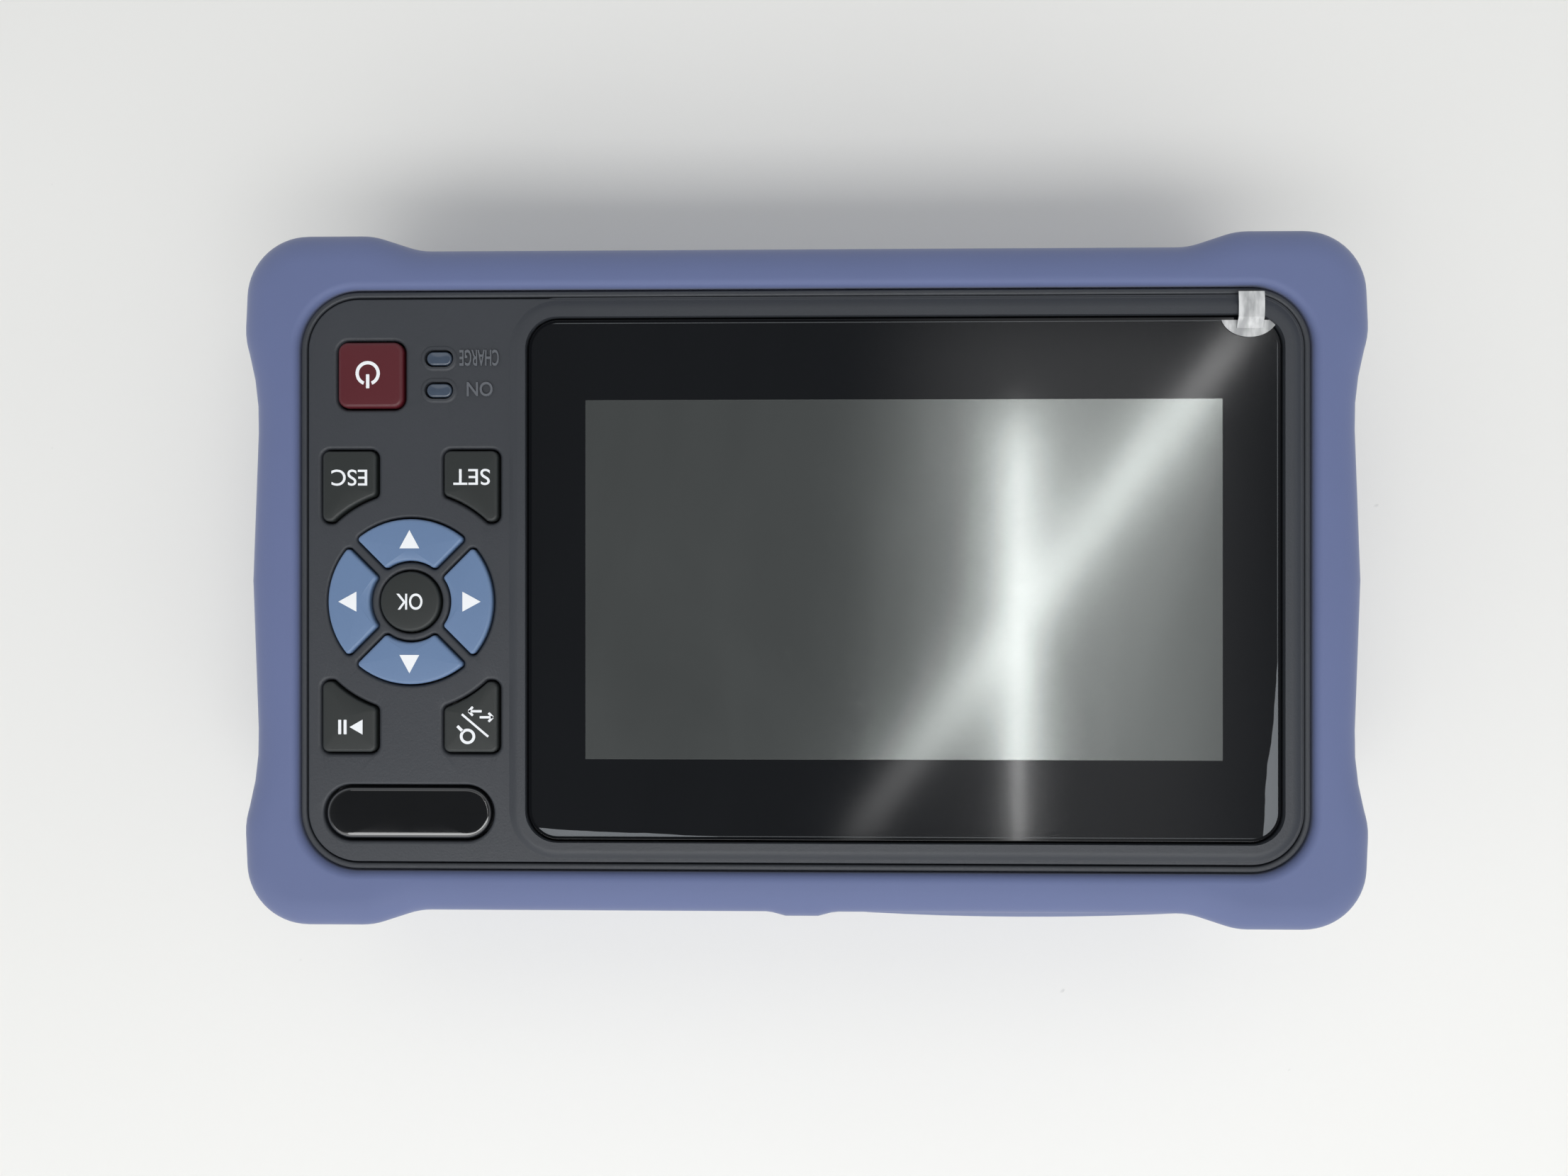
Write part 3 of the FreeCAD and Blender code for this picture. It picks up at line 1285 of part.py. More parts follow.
def make_round_adapter(label, x, radius):
    """Turned metal adapter for bare 2.5 mm ferrules."""
    body = new_body(label)
    tail = f"({BAY_BACK} - bay_wall - port_tail)"
    plate = f"({BAY_BACK} + flange_plate)"
    profile = [
        ("ferrule_bore", tail, None), (f"{radius} * 0.7", tail, None),
        (f"{radius} * 0.7", BAY_BACK, None), (radius, BAY_BACK, None),
        (radius, plate, None), (f"{radius} * 0.8", plate, None),
        (f"{radius} * 0.8", f"({PORT_TIP} - port_bevel)", None),
        (f"{radius} * 0.8 - port_bevel", PORT_TIP, None), ("ferrule_bore", PORT_TIP, None),
    ]
    sketch = sketch_on(body, "XY_Plane", "profile", [profile], SPLIT)
    sketch.setExpression("AttachmentOffset.Base.x", bind(x))
    turned = body.newObject("PartDesign::Revolution", f"{label}_turned")
    turned.Profile = sketch
    turned.ReferenceAxis = (sketch, ["V_Axis"])
    turned.Angle = 360
    doc.recompute()
    return body


def make_sockets():
    """Data and charging sockets on the underside of the main board."""
    front = f"({OUTER_WALL} - socket_sink)"
    usb = new_body("data_socket")
    pad_along_y(usb, "shell", [usb_outline()], f"({front} - usb_length)", front)
    cut_along_y(usb, "mouth", [usb_outline("-usb_shell")], front,
                f"({front} - usb_mouth_depth)")
    middle = f"({MAIN_FOOT} - usb_height / 2)"
    half = "(usb_width / 2 - usb_tongue_margin)"
    tongue = rectangle(f"(usb_x - {half})", f"(usb_x + {half})",
                       f"({middle} + usb_tongue_lift)",
                       f"({middle} + usb_tongue_lift + usb_tongue)")
    pad_along_y(usb, "tongue", [tongue], f"({front} - usb_mouth_depth - tongue_root)",
                f"({front} - tongue_sink)")

    charge = new_body("charge_socket")
    pad_along_y(charge, "shell", [charge_outline()], f"({front} - charge_length)", front)
    cut_along_y(charge, "mouth", [charge_outline("-charge_shell")], front,
                f"({front} - charge_mouth_depth)")
    middle = f"({MAIN_FOOT} - charge_height / 2)"
    tongue = rectangle("(charge_x - charge_width * 0.36)", "(charge_x + charge_width * 0.36)",
                       f"({middle} - charge_tongue / 2)", f"({middle} + charge_tongue / 2)")
    pad_along_y(charge, "tongue", [tongue], f"({front} - charge_mouth_depth - tongue_root)",
                f"({front} - tongue_sink)")
    return [usb, charge]


# ---------------------------------------------------------------- hinged covers

def barrel_side(foot, top):
    """Side view of a cover: a flat plate on a barrel that turns on the hinge pin."""
    axis = f"({foot} + barrel_radius)"
    return [
        (COVER_INSIDE, axis, None),
        (COVER_INSIDE, top, None),
        (COVER_OUTSIDE, top, None),
        (COVER_OUTSIDE, axis, None),
    ]


def make_flap():
    body = new_body("port_flap")
    axis = f"({FLAP_FOOT} + barrel_radius)"
    crest = f"({COVER_OUTSIDE} + flap_crown)"
    side = [
        (COVER_INSIDE, axis, None),
        (f"({HINGE_Y} + barrel_radius)", axis, None),
        (f"({HINGE_Y} + barrel_radius)", f"({axis} + flap_heel)", None),
        (crest, f"({FLAP_TOP} - flap_ridge * 2)", None),
        (crest, f"({FLAP_TOP} - flap_ridge)", None),
        (f"({COVER_OUTSIDE} + flap_top_rise)", FLAP_TOP, None),
        (COVER_INSIDE, FLAP_TOP, None),
    ]
    pad_along_x(body, "plate", [side], "flap_left", "flap_right")
    half = "((flap_right - flap_left) / 2)"
    sagitta = "(flap_crown - flap_end_rise)"
    crown = f"(({half}^2 + {sagitta}^2) / (2 * {sagitta}))"
    ends = f"({COVER_OUTSIDE} + flap_end_rise)"
    outside = f"({COVER_OUTSIDE} + flap_crown + 2)"
    waste = [
        ("(flap_right + 1)", outside, None), ("(flap_left - 1)", outside, None),
        ("(flap_left - 1)", ends, None), ("flap_left", ends, f"~{crown}"),
        ("flap_right", ends, None), ("(flap_right + 1)", ends, None),
    ]
    cut_down(body, "crown", [waste], f"({FLAP_TOP} + 1)", FLAP_FOOT)
    pad_along_x(body, "barrel", [circle(HINGE_Y, axis, "barrel_radius")],
                "flap_left", "flap_right")
    cut_along_x(body, "pin_hole", [circle(HINGE_Y, axis, "pin_radius + pin_fit")],
                "flap_right", "flap_left")
    left, right = value("flap_left"), value("flap_right")
    low = value(f"{axis} + flap_heel") + 0.1

    def at_end(edge):
        box = edge.BoundBox
        at_side = min(abs(box.XMin - left), abs(box.XMin - right)) < 1e-3
        outer = box.YMin > value(COVER_OUTSIDE)
        return box.XLength < 1e-3 and at_side and outer and box.ZMin > low

    bevel_edges(body, "ends", "flap_edge", at_end)
    return body


def make_data_cover():
    body = new_body("data_port_cover")
    axis = f"({DATA_FOOT} + barrel_radius)"
    pad_along_x(body, "plate", [barrel_side(DATA_FOOT, DATA_TOP)], "data_left", "data_right")
    pad_along_x(body, "barrel", [circle(HINGE_Y, axis, "barrel_radius")],
                "data_left", "data_right")
    cut_along_x(body, "pin_hole", [circle(HINGE_Y, axis, "pin_radius + pin_fit")],
                "data_right", "data_left")
    middle = "(data_left + data_right) / 2"
    grip = rectangle(f"({middle} - grip_half)", f"({middle} + grip_half)",
                     f"({DATA_TOP} - grip_height)", f"({DATA_TOP} + 1)")
    cut_along_y(body, "finger_grip", [grip], f"({COVER_OUTSIDE} + 1)",
                f"({COVER_OUTSIDE} - grip_depth)")
    return body


def make_stand():
    body = new_body("stand")
    low = "(back_rise + stand_inset)"
    foot = "(stand_hinge_y - stand_length)"
    leaf = rounded("(-stand_width / 2)", "(stand_width / 2)", foot,
                   "(stand_hinge_y + stand_corner)", "stand_corner")
    slot = centred("0", "stand_hinge_y - stand_length / 2", "stand_slot_width",
                   "stand_slot_length", "stand_slot_round")
    pad_up(body, "leaf", [leaf], low, f"({low} + stand_thickness)")
    trim = rectangle("(-stand_width / 2 - 1)", "(stand_width / 2 + 1)", "stand_hinge_y",
                     "(stand_hinge_y + stand_corner + 1)")
    cut_down(body, "trim", [trim], f"({low} + stand_thickness)", low)
    cut_down(body, "recess", [slot], f"({low} + stand_recess)", low)
    pad_along_x(body, "barrel", [circle("stand_hinge_y", STAND_AXIS, "stand_barrel")],
                "(-stand_width / 2)", "(stand_width / 2)")
    cut_along_x(body, "pin_hole", [circle("stand_hinge_y", STAND_AXIS, "stand_pin + pin_fit")],
                "(stand_width / 2)", "(-stand_width / 2)")
    return body


def make_pins():
    flap_axis = f"({FLAP_FOOT} + barrel_radius)"
    data_axis = f"({DATA_FOOT} + barrel_radius)"
    outreach = "cover_gap + lug_width"
    return [
        rod("flap_pin", HINGE_Y, flap_axis, f"flap_left - {outreach}",
            f"flap_right + {outreach}", "pin_radius"),
        rod("data_cover_pin", HINGE_Y, data_axis, f"data_left - {outreach}",
            f"data_right + {outreach}", "pin_radius"),
        rod("stand_pin", "stand_hinge_y", STAND_AXIS, "-stand_width / 2 - lug_width",
            "stand_width / 2 + lug_width", "stand_pin"),
    ]


# ---------------------------------------------------------------- screws

def make_screws(label, places, head_low, head_high, shank_end, head, shank):
    """Identical screws as one group: a hexagonal head and a shank that cuts its thread."""
    parts = []
    for number, (x, y) in enumerate(places):
        pieces = []
        for name, radius, start, end in (("head", head, head_low, head_high),
                                         ("shank", shank, head_high, shank_end)):
            piece = doc.addObject("Part::Prism", f"{label}_{name}_{number}")
            piece.Polygon = 6
            piece.setExpression("Circumradius", bind(radius))
            low, high = sorted((start, end), key=value)
            piece.setExpression("Height", bind(f"{high} - ({low})"))
            piece.setExpression("Placement.Base.x", bind(x))
            piece.setExpression("Placement.Base.y", bind(y))
            piece.setExpression("Placement.Base.z", bind(low))
            pieces.append(piece)
        screw = doc.addObject("Part::MultiFuse", f"{label}_{number}")
        screw.Shapes = pieces
        parts.append(screw)
    group = doc.addObject("Part::Compound", label)
    group.Label = label
    group.Links = parts
    return group


def make_all_screws():
    case = make_screws("case_screws", boss_places(), REAR_SHOULDER,
                       f"({REAR_SHOULDER} + screw_head_height)",
                       f"({SPLIT} + screw_bite)", "screw_head", "screw_radius")
    board = make_screws("board_screws", board_posts(),
                        f"({MAIN_TOP} + board_screw_head_height)", MAIN_TOP,
                        f"({MAIN_FOOT} - board_screw_bite)", "board_screw_head",
                        "board_screw_radius")
    keypad = make_screws("keypad_screws", keypad_posts(),
                         f"({KEYPAD_TOP} - board_thickness - keypad_screw_head)",
                         f"({KEYPAD_TOP} - board_thickness)",
                         f"({KEYPAD_TOP} + keypad_screw_bite)",
                         "board_screw_head", "(board_screw_radius - keypad_screw_slim)")
    return [case, board, keypad]


# ---------------------------------------------------------------- build and write

sub_parts = [make_bumper(), make_front_housing(), make_rear_housing(), make_port_bay()]
sub_parts += make_screen()
sub_parts += make_keys()
sub_parts += make_keypad()
sub_parts += make_main_board()
sub_parts += make_power_and_optics()
sub_parts.append(make_sc_adapter())
sub_parts.append(make_round_adapter("power_meter_adapter", port_places()[1], "meter_radius"))
sub_parts.append(make_round_adapter("fault_locator_adapter", port_places()[2],
                                    "locator_radius"))
sub_parts += make_sockets()
sub_parts += [make_flap(), make_data_cover(), make_stand()]
sub_parts += make_pins()
sub_parts += make_all_screws()
doc.recompute()

for item in doc.Objects:
    if "Invalid" in item.State or "Error" in item.State:
        raise RuntimeError(f"{item.Name} did not build: {item.State}")
for sub_part in sub_parts:
    shape = sub_part.Shape
    if shape.isNull() or not shape.isValid() or not shape.Solids:
        raise RuntimeError(f"{sub_part.Label} has no sound solid")

for sub_part in sub_parts:
    sub_part.Shape.exportStep(f"parts/{sub_part.Label}.step")
    print(f"{sub_part.Label:24} {len(sub_part.Shape.Solids):2} solids "
          f"{sub_part.Shape.Volume / 1000:8.2f} cm3")
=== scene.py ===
# %% [markdown]
# # A handheld optical time domain reflectometer
# The solids of the instrument come in first, because every visible piece is made to fit them.

# %% Load the solids
import math

import bmesh
import bpy
from mathutils import Matrix, Vector
from mathutils.geometry import delaunay_2d_cdt


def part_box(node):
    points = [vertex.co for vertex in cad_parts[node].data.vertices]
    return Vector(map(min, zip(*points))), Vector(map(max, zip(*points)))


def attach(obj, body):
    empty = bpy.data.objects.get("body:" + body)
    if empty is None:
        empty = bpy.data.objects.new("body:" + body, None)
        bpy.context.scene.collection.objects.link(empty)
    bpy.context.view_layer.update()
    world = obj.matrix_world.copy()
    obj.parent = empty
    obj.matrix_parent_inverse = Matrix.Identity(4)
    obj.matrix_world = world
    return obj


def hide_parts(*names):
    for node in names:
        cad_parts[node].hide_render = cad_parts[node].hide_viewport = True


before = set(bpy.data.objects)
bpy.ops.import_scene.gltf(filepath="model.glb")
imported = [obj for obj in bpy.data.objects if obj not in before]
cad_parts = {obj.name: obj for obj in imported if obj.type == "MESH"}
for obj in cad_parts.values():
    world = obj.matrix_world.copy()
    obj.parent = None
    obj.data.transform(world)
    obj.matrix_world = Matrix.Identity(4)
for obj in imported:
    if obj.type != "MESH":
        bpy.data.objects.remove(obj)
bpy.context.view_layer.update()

# %% [markdown]
# ## Shader maths as Python
# A finish is a small graph of nodes, and its maths reads best as ordinary sums. A socket is
# wrapped in a class whose operators add Math nodes, and every other node comes from one
# method. Patterns read Object coordinates in metres, so they keep their real size.

# %% Wires and finishes
class Wire:
    """One output socket. A sum written on it adds Math nodes to its finish."""

    def __init__(self, finish, socket):
        self.finish = finish
        self.socket = socket

    def math(self, operation, *values):
        return self.finish.node("ShaderNodeMath", {"operation": operation},
                                dict(enumerate(values)))[0]

    def __add__(self, other):
        return self.math("ADD", self, other)

    def __sub__(self, other):
        return self.math("SUBTRACT", self, other)

    def __rsub__(self, other):
        return self.math("SUBTRACT", other, self)

    def __mul__(self, other):
        return self.math("MULTIPLY", self, other)

    __radd__ = __add__
    __rmul__ = __mul__

    def size(self):
        return self.math("ABSOLUTE", self)

    def lesser(self, other):
        return self.math("MINIMUM", self, other)

    def greater(self, other):
        return self.math("MAXIMUM", self, other)

    def ramp(self, start, end, low=0.0, high=1.0):
        """Goes smoothly from low to high as this value goes from start to end."""
        return self.finish.node(
            "ShaderNodeMapRange", {"interpolation_type": "SMOOTHSTEP"},
            {0: self, 1: start, 2: end, 3: low, 4: high})[0]


class Node:
    """A node whose outputs are taken by name or number, as wires."""

    def __init__(self, finish, made):
        self.finish = finish
        self.made = made

    def __getitem__(self, key):
        return Wire(self.finish, self.made.outputs[key])


class Finish:
    """A material with its graph, and the shader's steady values set on its own sockets."""

    def __init__(self, name, **steady):
        self.material = bpy.data.materials.new(name)
        self.material.use_nodes = True
        self.tree = self.material.node_tree
        self.shader = self.tree.nodes["Principled BSDF"]
        for key, value in steady.items():
            self.shader.inputs[key.replace("_", " ")].default_value = value
        self.place = self.node("ShaderNodeTexCoord")["Object"]

    def node(self, kind, settings=None, sockets=None):
        made = self.tree.nodes.new(kind)
        for key, value in (settings or {}).items():
            setattr(made, key, value)
        for key, value in (sockets or {}).items():
            if isinstance(value, Wire):
                self.tree.links.new(value.socket, made.inputs[key])
            else:
                made.inputs[key].default_value = value
        return Node(self, made)

    def axes(self):
        """The X, Y and Z of a point, in millimetres."""
        split = self.node("ShaderNodeSeparateXYZ", None, {0: self.place})
        return [split[axis] * 1000 for axis in range(3)]

    def noise(self, scale, detail, stretch=(1, 1, 1), distortion=0.0):
        """Noise from 0 to 1, with scale in features per metre."""
        place = self.node("ShaderNodeMapping", None, {"Vector": self.place,
                                                      "Scale": stretch})[0]
        return self.node("ShaderNodeTexNoise", {"noise_dimensions": "3D"}, {
            "Vector": place, "Scale": scale, "Detail": detail,
            "Distortion": distortion})[0]

    def mix(self, factor, first, second):
        """A colour between two colours."""
        return self.node("ShaderNodeMix", {"data_type": "RGBA"},
                         {0: factor, 6: first, 7: second})[2]

    def bump(self, height, distance):
        self.set("Normal", self.node("ShaderNodeBump", None, {
            "Height": height, "Distance": distance, "Strength": 1.0})[0])

    def set(self, socket, wire):
        self.tree.links.new(wire.socket, self.shader.inputs[socket])


def paint(red, green, blue):
    """A linear colour from the usual 0 to 255 screen values."""
    def line(part):
        part = part / 255
        return part / 12.92 if part <= 0.04045 else ((part + 0.055) / 1.055) ** 2.4
    return (line(red), line(green), line(blue), 1.0)


print("sky blue in linear light", [round(v, 3) for v in paint(112, 136, 171)])

# %% [markdown]
# ## Moulded and metal finishes
# The boot is matt silicone: a soft broad sheen and a skin-like grain of a fifth of a
# millimetre. The housing has a spark-eroded mould texture, which reads as fine sparkle, and
# its high places are rubbed a little smoother; their colour is painted lighter than the
# housing, a painted highlight on the tops of the raised lamp names. The keys are smoother
# mouldings with a clear hard face. Each finish varies slightly in tone and roughness, as
# handled plastic does.

# %% Moulded plastics and silicone
def moulded(name, colour, roughness, grain, depth, tone=0.08, **steady):
    """Moulded plastic: grain is the texture's size in millimetres, depth its height."""
    finish = Finish(name, **steady)
    cloud = finish.noise(55.0, 4.0)
    fine = finish.noise(1000.0 / grain, 3.0)
    dark = tuple(part * (1 - tone) for part in colour[:3]) + (1.0,)
    light = tuple(min(1.0, part * (1 + tone)) for part in colour[:3]) + (1.0,)
    finish.set("Base Color", finish.mix(cloud * 0.6 + fine * 0.4, dark, light))
    finish.set("Roughness", roughness + (cloud - 0.5) * 0.05 + (fine - 0.5) * 0.06)
    finish.bump(fine, depth * 0.001)
    return finish.material


boot_silicone = moulded("boot_silicone", paint(91, 102, 141), 0.66, 0.22, 0.010,
                        Sheen_Weight=0.25, Sheen_Roughness=0.45)
housing_plastic = moulded("housing_plastic", paint(49, 52, 57), 0.52, 0.34, 0.035,
                          tone=0.16)
# painted highlight: the raised lamp names are painted lighter than the housing for their lit
# tops; the lower roughness is their rubbed smoothness
rubbed_letter_highlight_plastic = moulded("rubbed_letter_highlight_plastic", paint(92, 95, 100), 0.42, 0.34, 0.010, tone=0.1)
housing_inside = moulded("housing_inside", paint(52, 55, 60), 0.60, 0.40, 0.015)
dark_key_plastic = moulded("dark_key_plastic", paint(32, 36, 35), 0.5, 0.30, 0.008)
blue_key_plastic = moulded("blue_key_plastic", paint(98, 122, 156), 0.42, 0.30, 0.006)
red_key_plastic = moulded("red_key_plastic", paint(80, 16, 26), 0.45, 0.30, 0.006)
black_plastic = moulded("black_plastic", paint(28, 29, 31), 0.48, 0.30, 0.012)
blue_adapter_plastic = moulded("blue_adapter_plastic", paint(40, 84, 170), 0.35, 0.4, 0.006)
print("moulded finishes made")

# %% [markdown]
# ## Printed ink, lamps, badge and metals
# The key legends are white ink with a faint unevenness. The lamp windows are tinted resin,
# and a soft glow from the pipe below is painted into that tint: painted light. The badge is a
# poured clear dome over black.

# %% Ink, resin and metal
def plain(name, colour, roughness, variation=0.05, scale=300.0, **steady):
    """A smooth finish whose tone and gloss drift slightly over the surface."""
    finish = Finish(name, **steady)
    drift = finish.noise(scale, 3.0)
    dark = tuple(part * (1 - variation) for part in colour[:3]) + (1.0,)
    finish.set("Base Color", finish.mix(drift, dark, colour))
    finish.set("Roughness", roughness + (drift - 0.5) * 0.1)
    finish.bump(drift, 0.000004)
    return finish.material


legend_ink = plain("legend_ink", paint(236, 238, 240), 0.45)
# painted glow: the lamp windows' grey-blue is their resin tint together with a painted soft
# glow from the pipe below
lamp_window = plain("lamp_window", paint(66, 78, 94), 0.25, 0.2, 900.0,
                    Coat_Weight=0.6, Coat_Roughness=0.1)
badge_resin = plain("badge_resin", paint(12, 13, 15), 0.08, 0.3, 200.0,
                    Coat_Weight=1.0, Coat_Roughness=0.02)
nickel_metal = plain("nickel_metal", paint(188, 186, 178), 0.28, 0.1, 500.0, Metallic=1.0)
steel_pin = plain("steel_pin", paint(160, 163, 168), 0.3, 0.1, 700.0, Metallic=1.0)
ceramic_sleeve = plain("ceramic_sleeve", paint(232, 230, 222), 0.25)
print("ink, resin and metal finishes made")

# %% [markdown]
# ## Shapes from outlines
# Almost every piece is an outline in plan with a rounded section, so one helper lays out
# points round corners and arcs, one moves an outline inwards, and one joins a stack of
# outlines into a closed skin. All sizes below are millimetres; the mesh is scaled to metres
# as it is made.

# %% Outline helpers
MILLIMETRE = 0.001
ARC_STEP = math.radians(6.0)
RING_STEPS = 72


def rounded(corners, spacing=None):
    """Points round a polygon whose corners (x, y, radius) are rounded, anticlockwise."""
    points = []
    count = len(corners)
    for index, (x, y, radius) in enumerate(corners):
        here = Vector((x, y))
        back = (Vector(corners[index - 1][:2]) - here).normalized()
        ahead = (Vector(corners[(index + 1) % count][:2]) - here).normalized()
        half = back.angle(ahead) / 2
        if radius <= 0 or half > math.radians(89.5):
            points.append(here)
            continue
        reach = radius / math.tan(half)
        middle = here + (back + ahead).normalized() * (radius / math.sin(half))
        start, end = here + back * reach, here + ahead * reach
        first = math.atan2(start.y - middle.y, start.x - middle.x)
        turn = math.atan2(end.y - middle.y, end.x - middle.x) - first
        turn = (turn + math.pi) % (2 * math.pi) - math.pi
        steps = max(2, math.ceil(abs(turn) / ARC_STEP))
        points += [middle + Vector((math.cos(first + turn * step / steps),
                                    math.sin(first + turn * step / steps))) * radius
                   for step in range(steps + 1)]
    return divided(points, spacing) if spacing else points


def divided(points, spacing):
    """The same outline with its long runs divided."""
    made = []
    for index, point in enumerate(points):
        ahead = points[(index + 1) % len(points)]
        steps = max(1, math.ceil((ahead - point).length / spacing))
        made += [point.lerp(ahead, step / steps) for step in range(steps)]
    return made


def box_outline(x, y, length, width, radius):
    left, right, low, high = (x - length / 2, x + length / 2, y - width / 2, y + width / 2)
    return rounded([(right, low, radius), (right, high, radius), (left, high, radius),
                    (left, low, radius)])


def ring_outline(x, y, radius):
    turns = [2 * math.pi * step / RING_STEPS for step in range(RING_STEPS)]
    return [Vector((x + radius * math.cos(turn), y + radius * math.sin(turn)))
            for turn in turns]


def inset(points, distance):
    """The outline moved inwards, each point along the bisector of its two runs."""
    made = []
    for index, point in enumerate(points):
        before = (point - points[index - 1]).normalized()
        after = (points[(index + 1) % len(points)] - point).normalized()
        inward = Vector((-(before.y + after.y), before.x + after.x))
        stretch = max(0.35, inward.length / 2)
        made.append(point + inward.normalized() * (distance / stretch))
    return made


def towards(points, centre, share):
    return [centre.lerp(point, share) for point in points]


def put(name, data):
    """A new object in the scene."""
    made = bpy.data.objects.new(name, data)
    bpy.context.collection.objects.link(made)
    return made


def carrier_of(data, name):
    """A passing object that carries a mesh or curve while modifiers work on it."""
    return put(name + "_work", data)


def taken(carrier, name):
    """The mesh that a passing object ends up with; the object itself is removed."""
    seen = carrier.evaluated_get(bpy.context.evaluated_depsgraph_get())
    mesh = bpy.data.meshes.new_from_object(seen)
    bpy.data.objects.remove(carrier)
    mesh.name = name
    return mesh


def new_piece(name, mesh, finish, body):
    """A piece on its body, with corner normals led by its large faces so flats look flat."""
    carrier = carrier_of(mesh, name)
    normals = carrier.modifiers.new("normals", "WEIGHTED_NORMAL")
    normals.keep_sharp = True
    mesh = taken(carrier, name)
    piece = put(name, mesh)
    if not mesh.materials:
        mesh.materials.append(finish)
    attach(piece, body)
    return piece


def shade(mesh, angle):
    """Smooth shading, with crisp edges above the angle."""
    mesh.shade_smooth()
    mesh.set_sharp_from_angle(angle=math.radians(angle))


def row_of(made, points, z):
    """New vertices along an outline at a height."""
    return [made.verts.new(Vector((*point, z)) * MILLIMETRE) for point in points]


def join_rows(made, lower, upper):
    """A closed band of faces between two rows of vertices."""
    for index in range(len(lower)):
        ahead = (index + 1) % len(lower)
        made.faces.new((lower[index], lower[ahead], upper[ahead], upper[index]))


def mesh_of(made, name):
    """The mesh of a bmesh, which is freed."""
    mesh = bpy.data.meshes.new(name)
    made.to_mesh(mesh)
    made.free()
    return mesh


def outward(made, name, angle=35.0, merge=0.0):
    """The mesh of a bmesh, faced outwards and shaded, with its near points merged."""
    if merge:
        bmesh.ops.remove_doubles(made, verts=made.verts, dist=merge)
    bmesh.ops.recalc_face_normals(made, faces=made.faces)
    mesh = mesh_of(made, name)
    shade(mesh, angle)
    return mesh


def skin(name, rings, closed_loop=False, angle=35.0):
    """A closed skin over a stack of outlines [(points, z)], all with the same count."""
    made = bmesh.new()
    rows = [row_of(made, points, z) for points, z in rings]
    for lower, upper in zip(rows, rows[1:] + rows[:1] if closed_loop else rows[1:]):
        join_rows(made, lower, upper)
    if not closed_loop:
        made.faces.new(rows[0][::-1])
        made.faces.new(rows[-1])
    return outward(made, name, angle, 1e-7)


def quarter_round(points, z, radius, steps=6, up=True, reach=None):
    """Outlines of a rounded edge that ends at height z; a reach below zero goes outwards."""
    rings = []
    for step in range(steps + 1):
        turn = math.pi / 2 * step / steps
        drop = radius * (1 - math.sin(turn))
        rings.append((inset(points, (reach or radius) * (1 - math.cos(turn))),
                      z - drop if up else z + drop))
    return rings


def pillow(name, points, foot, top, edge, crown, rows=5):
    """A cap with a rounded edge and a slightly domed top."""
    middle = sum(points, Vector((0.0, 0.0))) / len(points)
    rings = [(points, foot)] + quarter_round(points, top - crown, edge)
    last = rings[-1][0]
    for row in range(1, rows + 1):
        share = 1 - row / (rows + 0.35)
        rings.append((towards(last, middle, share), top - crown * share ** 2))
    return skin(name, rings)


print("helpers ready; a power key outline has",
      len(box_outline(0, 0, 9.85, 9.85, 1.5)), "points")

# %% [markdown]
# ## Where things are
# The places come from the solids: the glass, the keys and the badge each have a node, and
# its box gives the middle and the size.

# %% Read places from the solids
def span(node):
    """The lowest and highest corner of a node, in millimetres."""
    low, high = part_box(node)
    return Vector(low) * 1000, Vector(high) * 1000


def middle_of(node):
    low, high = span(node)
    return (low + high) / 2


boot_low, boot_high = span("bumper")
glass_low, glass_high = span("cover_glass")
nav = middle_of("ok_key")
top_of_boot = boot_high.z
face = top_of_boot - 1.0
print("boot", tuple(round(v, 2) for v in boot_high - boot_low), "glass top",
      round(glass_high.z, 2), "OK key at", round(nav.x, 2), round(nav.y, 2))

# %% [markdown]
# ## The silicone boot
# The boot is one moulding that wraps the housing: thick bulged corners, slightly bowed
# short sides, an inner lip that laps over the face, and a large opening at the back. A skin
# joins one outline per height, from the window over the outside and round to the back.
# The two hinged covers sit in holes in its upper side, which are cut afterwards.

# %% Outline of the boot
HALF_LENGTH, HALF_WIDTH = boot_high.x, 52.5
WAIST, EDGE = HALF_LENGTH - 2.25, 50.15
CORNER = HALF_LENGTH - 0.7
BOOT_ROUND, BOOT_REACH = 3.4, 4.9
NUB_BASE, NUB_FLAT, NUB_RISE = 4.95, 2.6, 0.75


def boot_outline():
    quarter = [(WAIST + 1.05, 0.0, 0), (WAIST, 28.5, 40.0), (HALF_LENGTH, 36.8, 11.0),
               (CORNER, HALF_WIDTH, 9.6), (65.2, HALF_WIDTH, 11.0), (58.0, EDGE, 11.0)]
    upper = quarter + [(-x, y, r) for x, y, r in quarter[:0:-1]]
    lower = [(-x, -y, r) for x, y, r in upper]
    return rounded(upper + lower, 1.0)


def with_nub(points, share):
    """A low flat-topped ridge in the middle of the upper side."""
    made = []
    for point in points:
        slope = (NUB_BASE - abs(point.x)) / (NUB_BASE - NUB_FLAT)
        rise = NUB_RISE * share * min(1.0, max(0.0, slope)) if point.y > 0 else 0.0
        made.append(point + Vector((0.0, rise)))
    return made


def beside(outline, half_length, half_width, radius):
    """For each point of an outline, the nearest point of a rounded rectangle inside it."""
    made = []
    for point in outline:
        core = Vector((min(max(point.x, radius - half_length), half_length - radius),
                       min(max(point.y, radius - half_width), half_width - radius)))
        made.append(core + (point - core).normalized() * radius)
    return made


outside = boot_outline()
print("boot outline has", len(outside), "points")

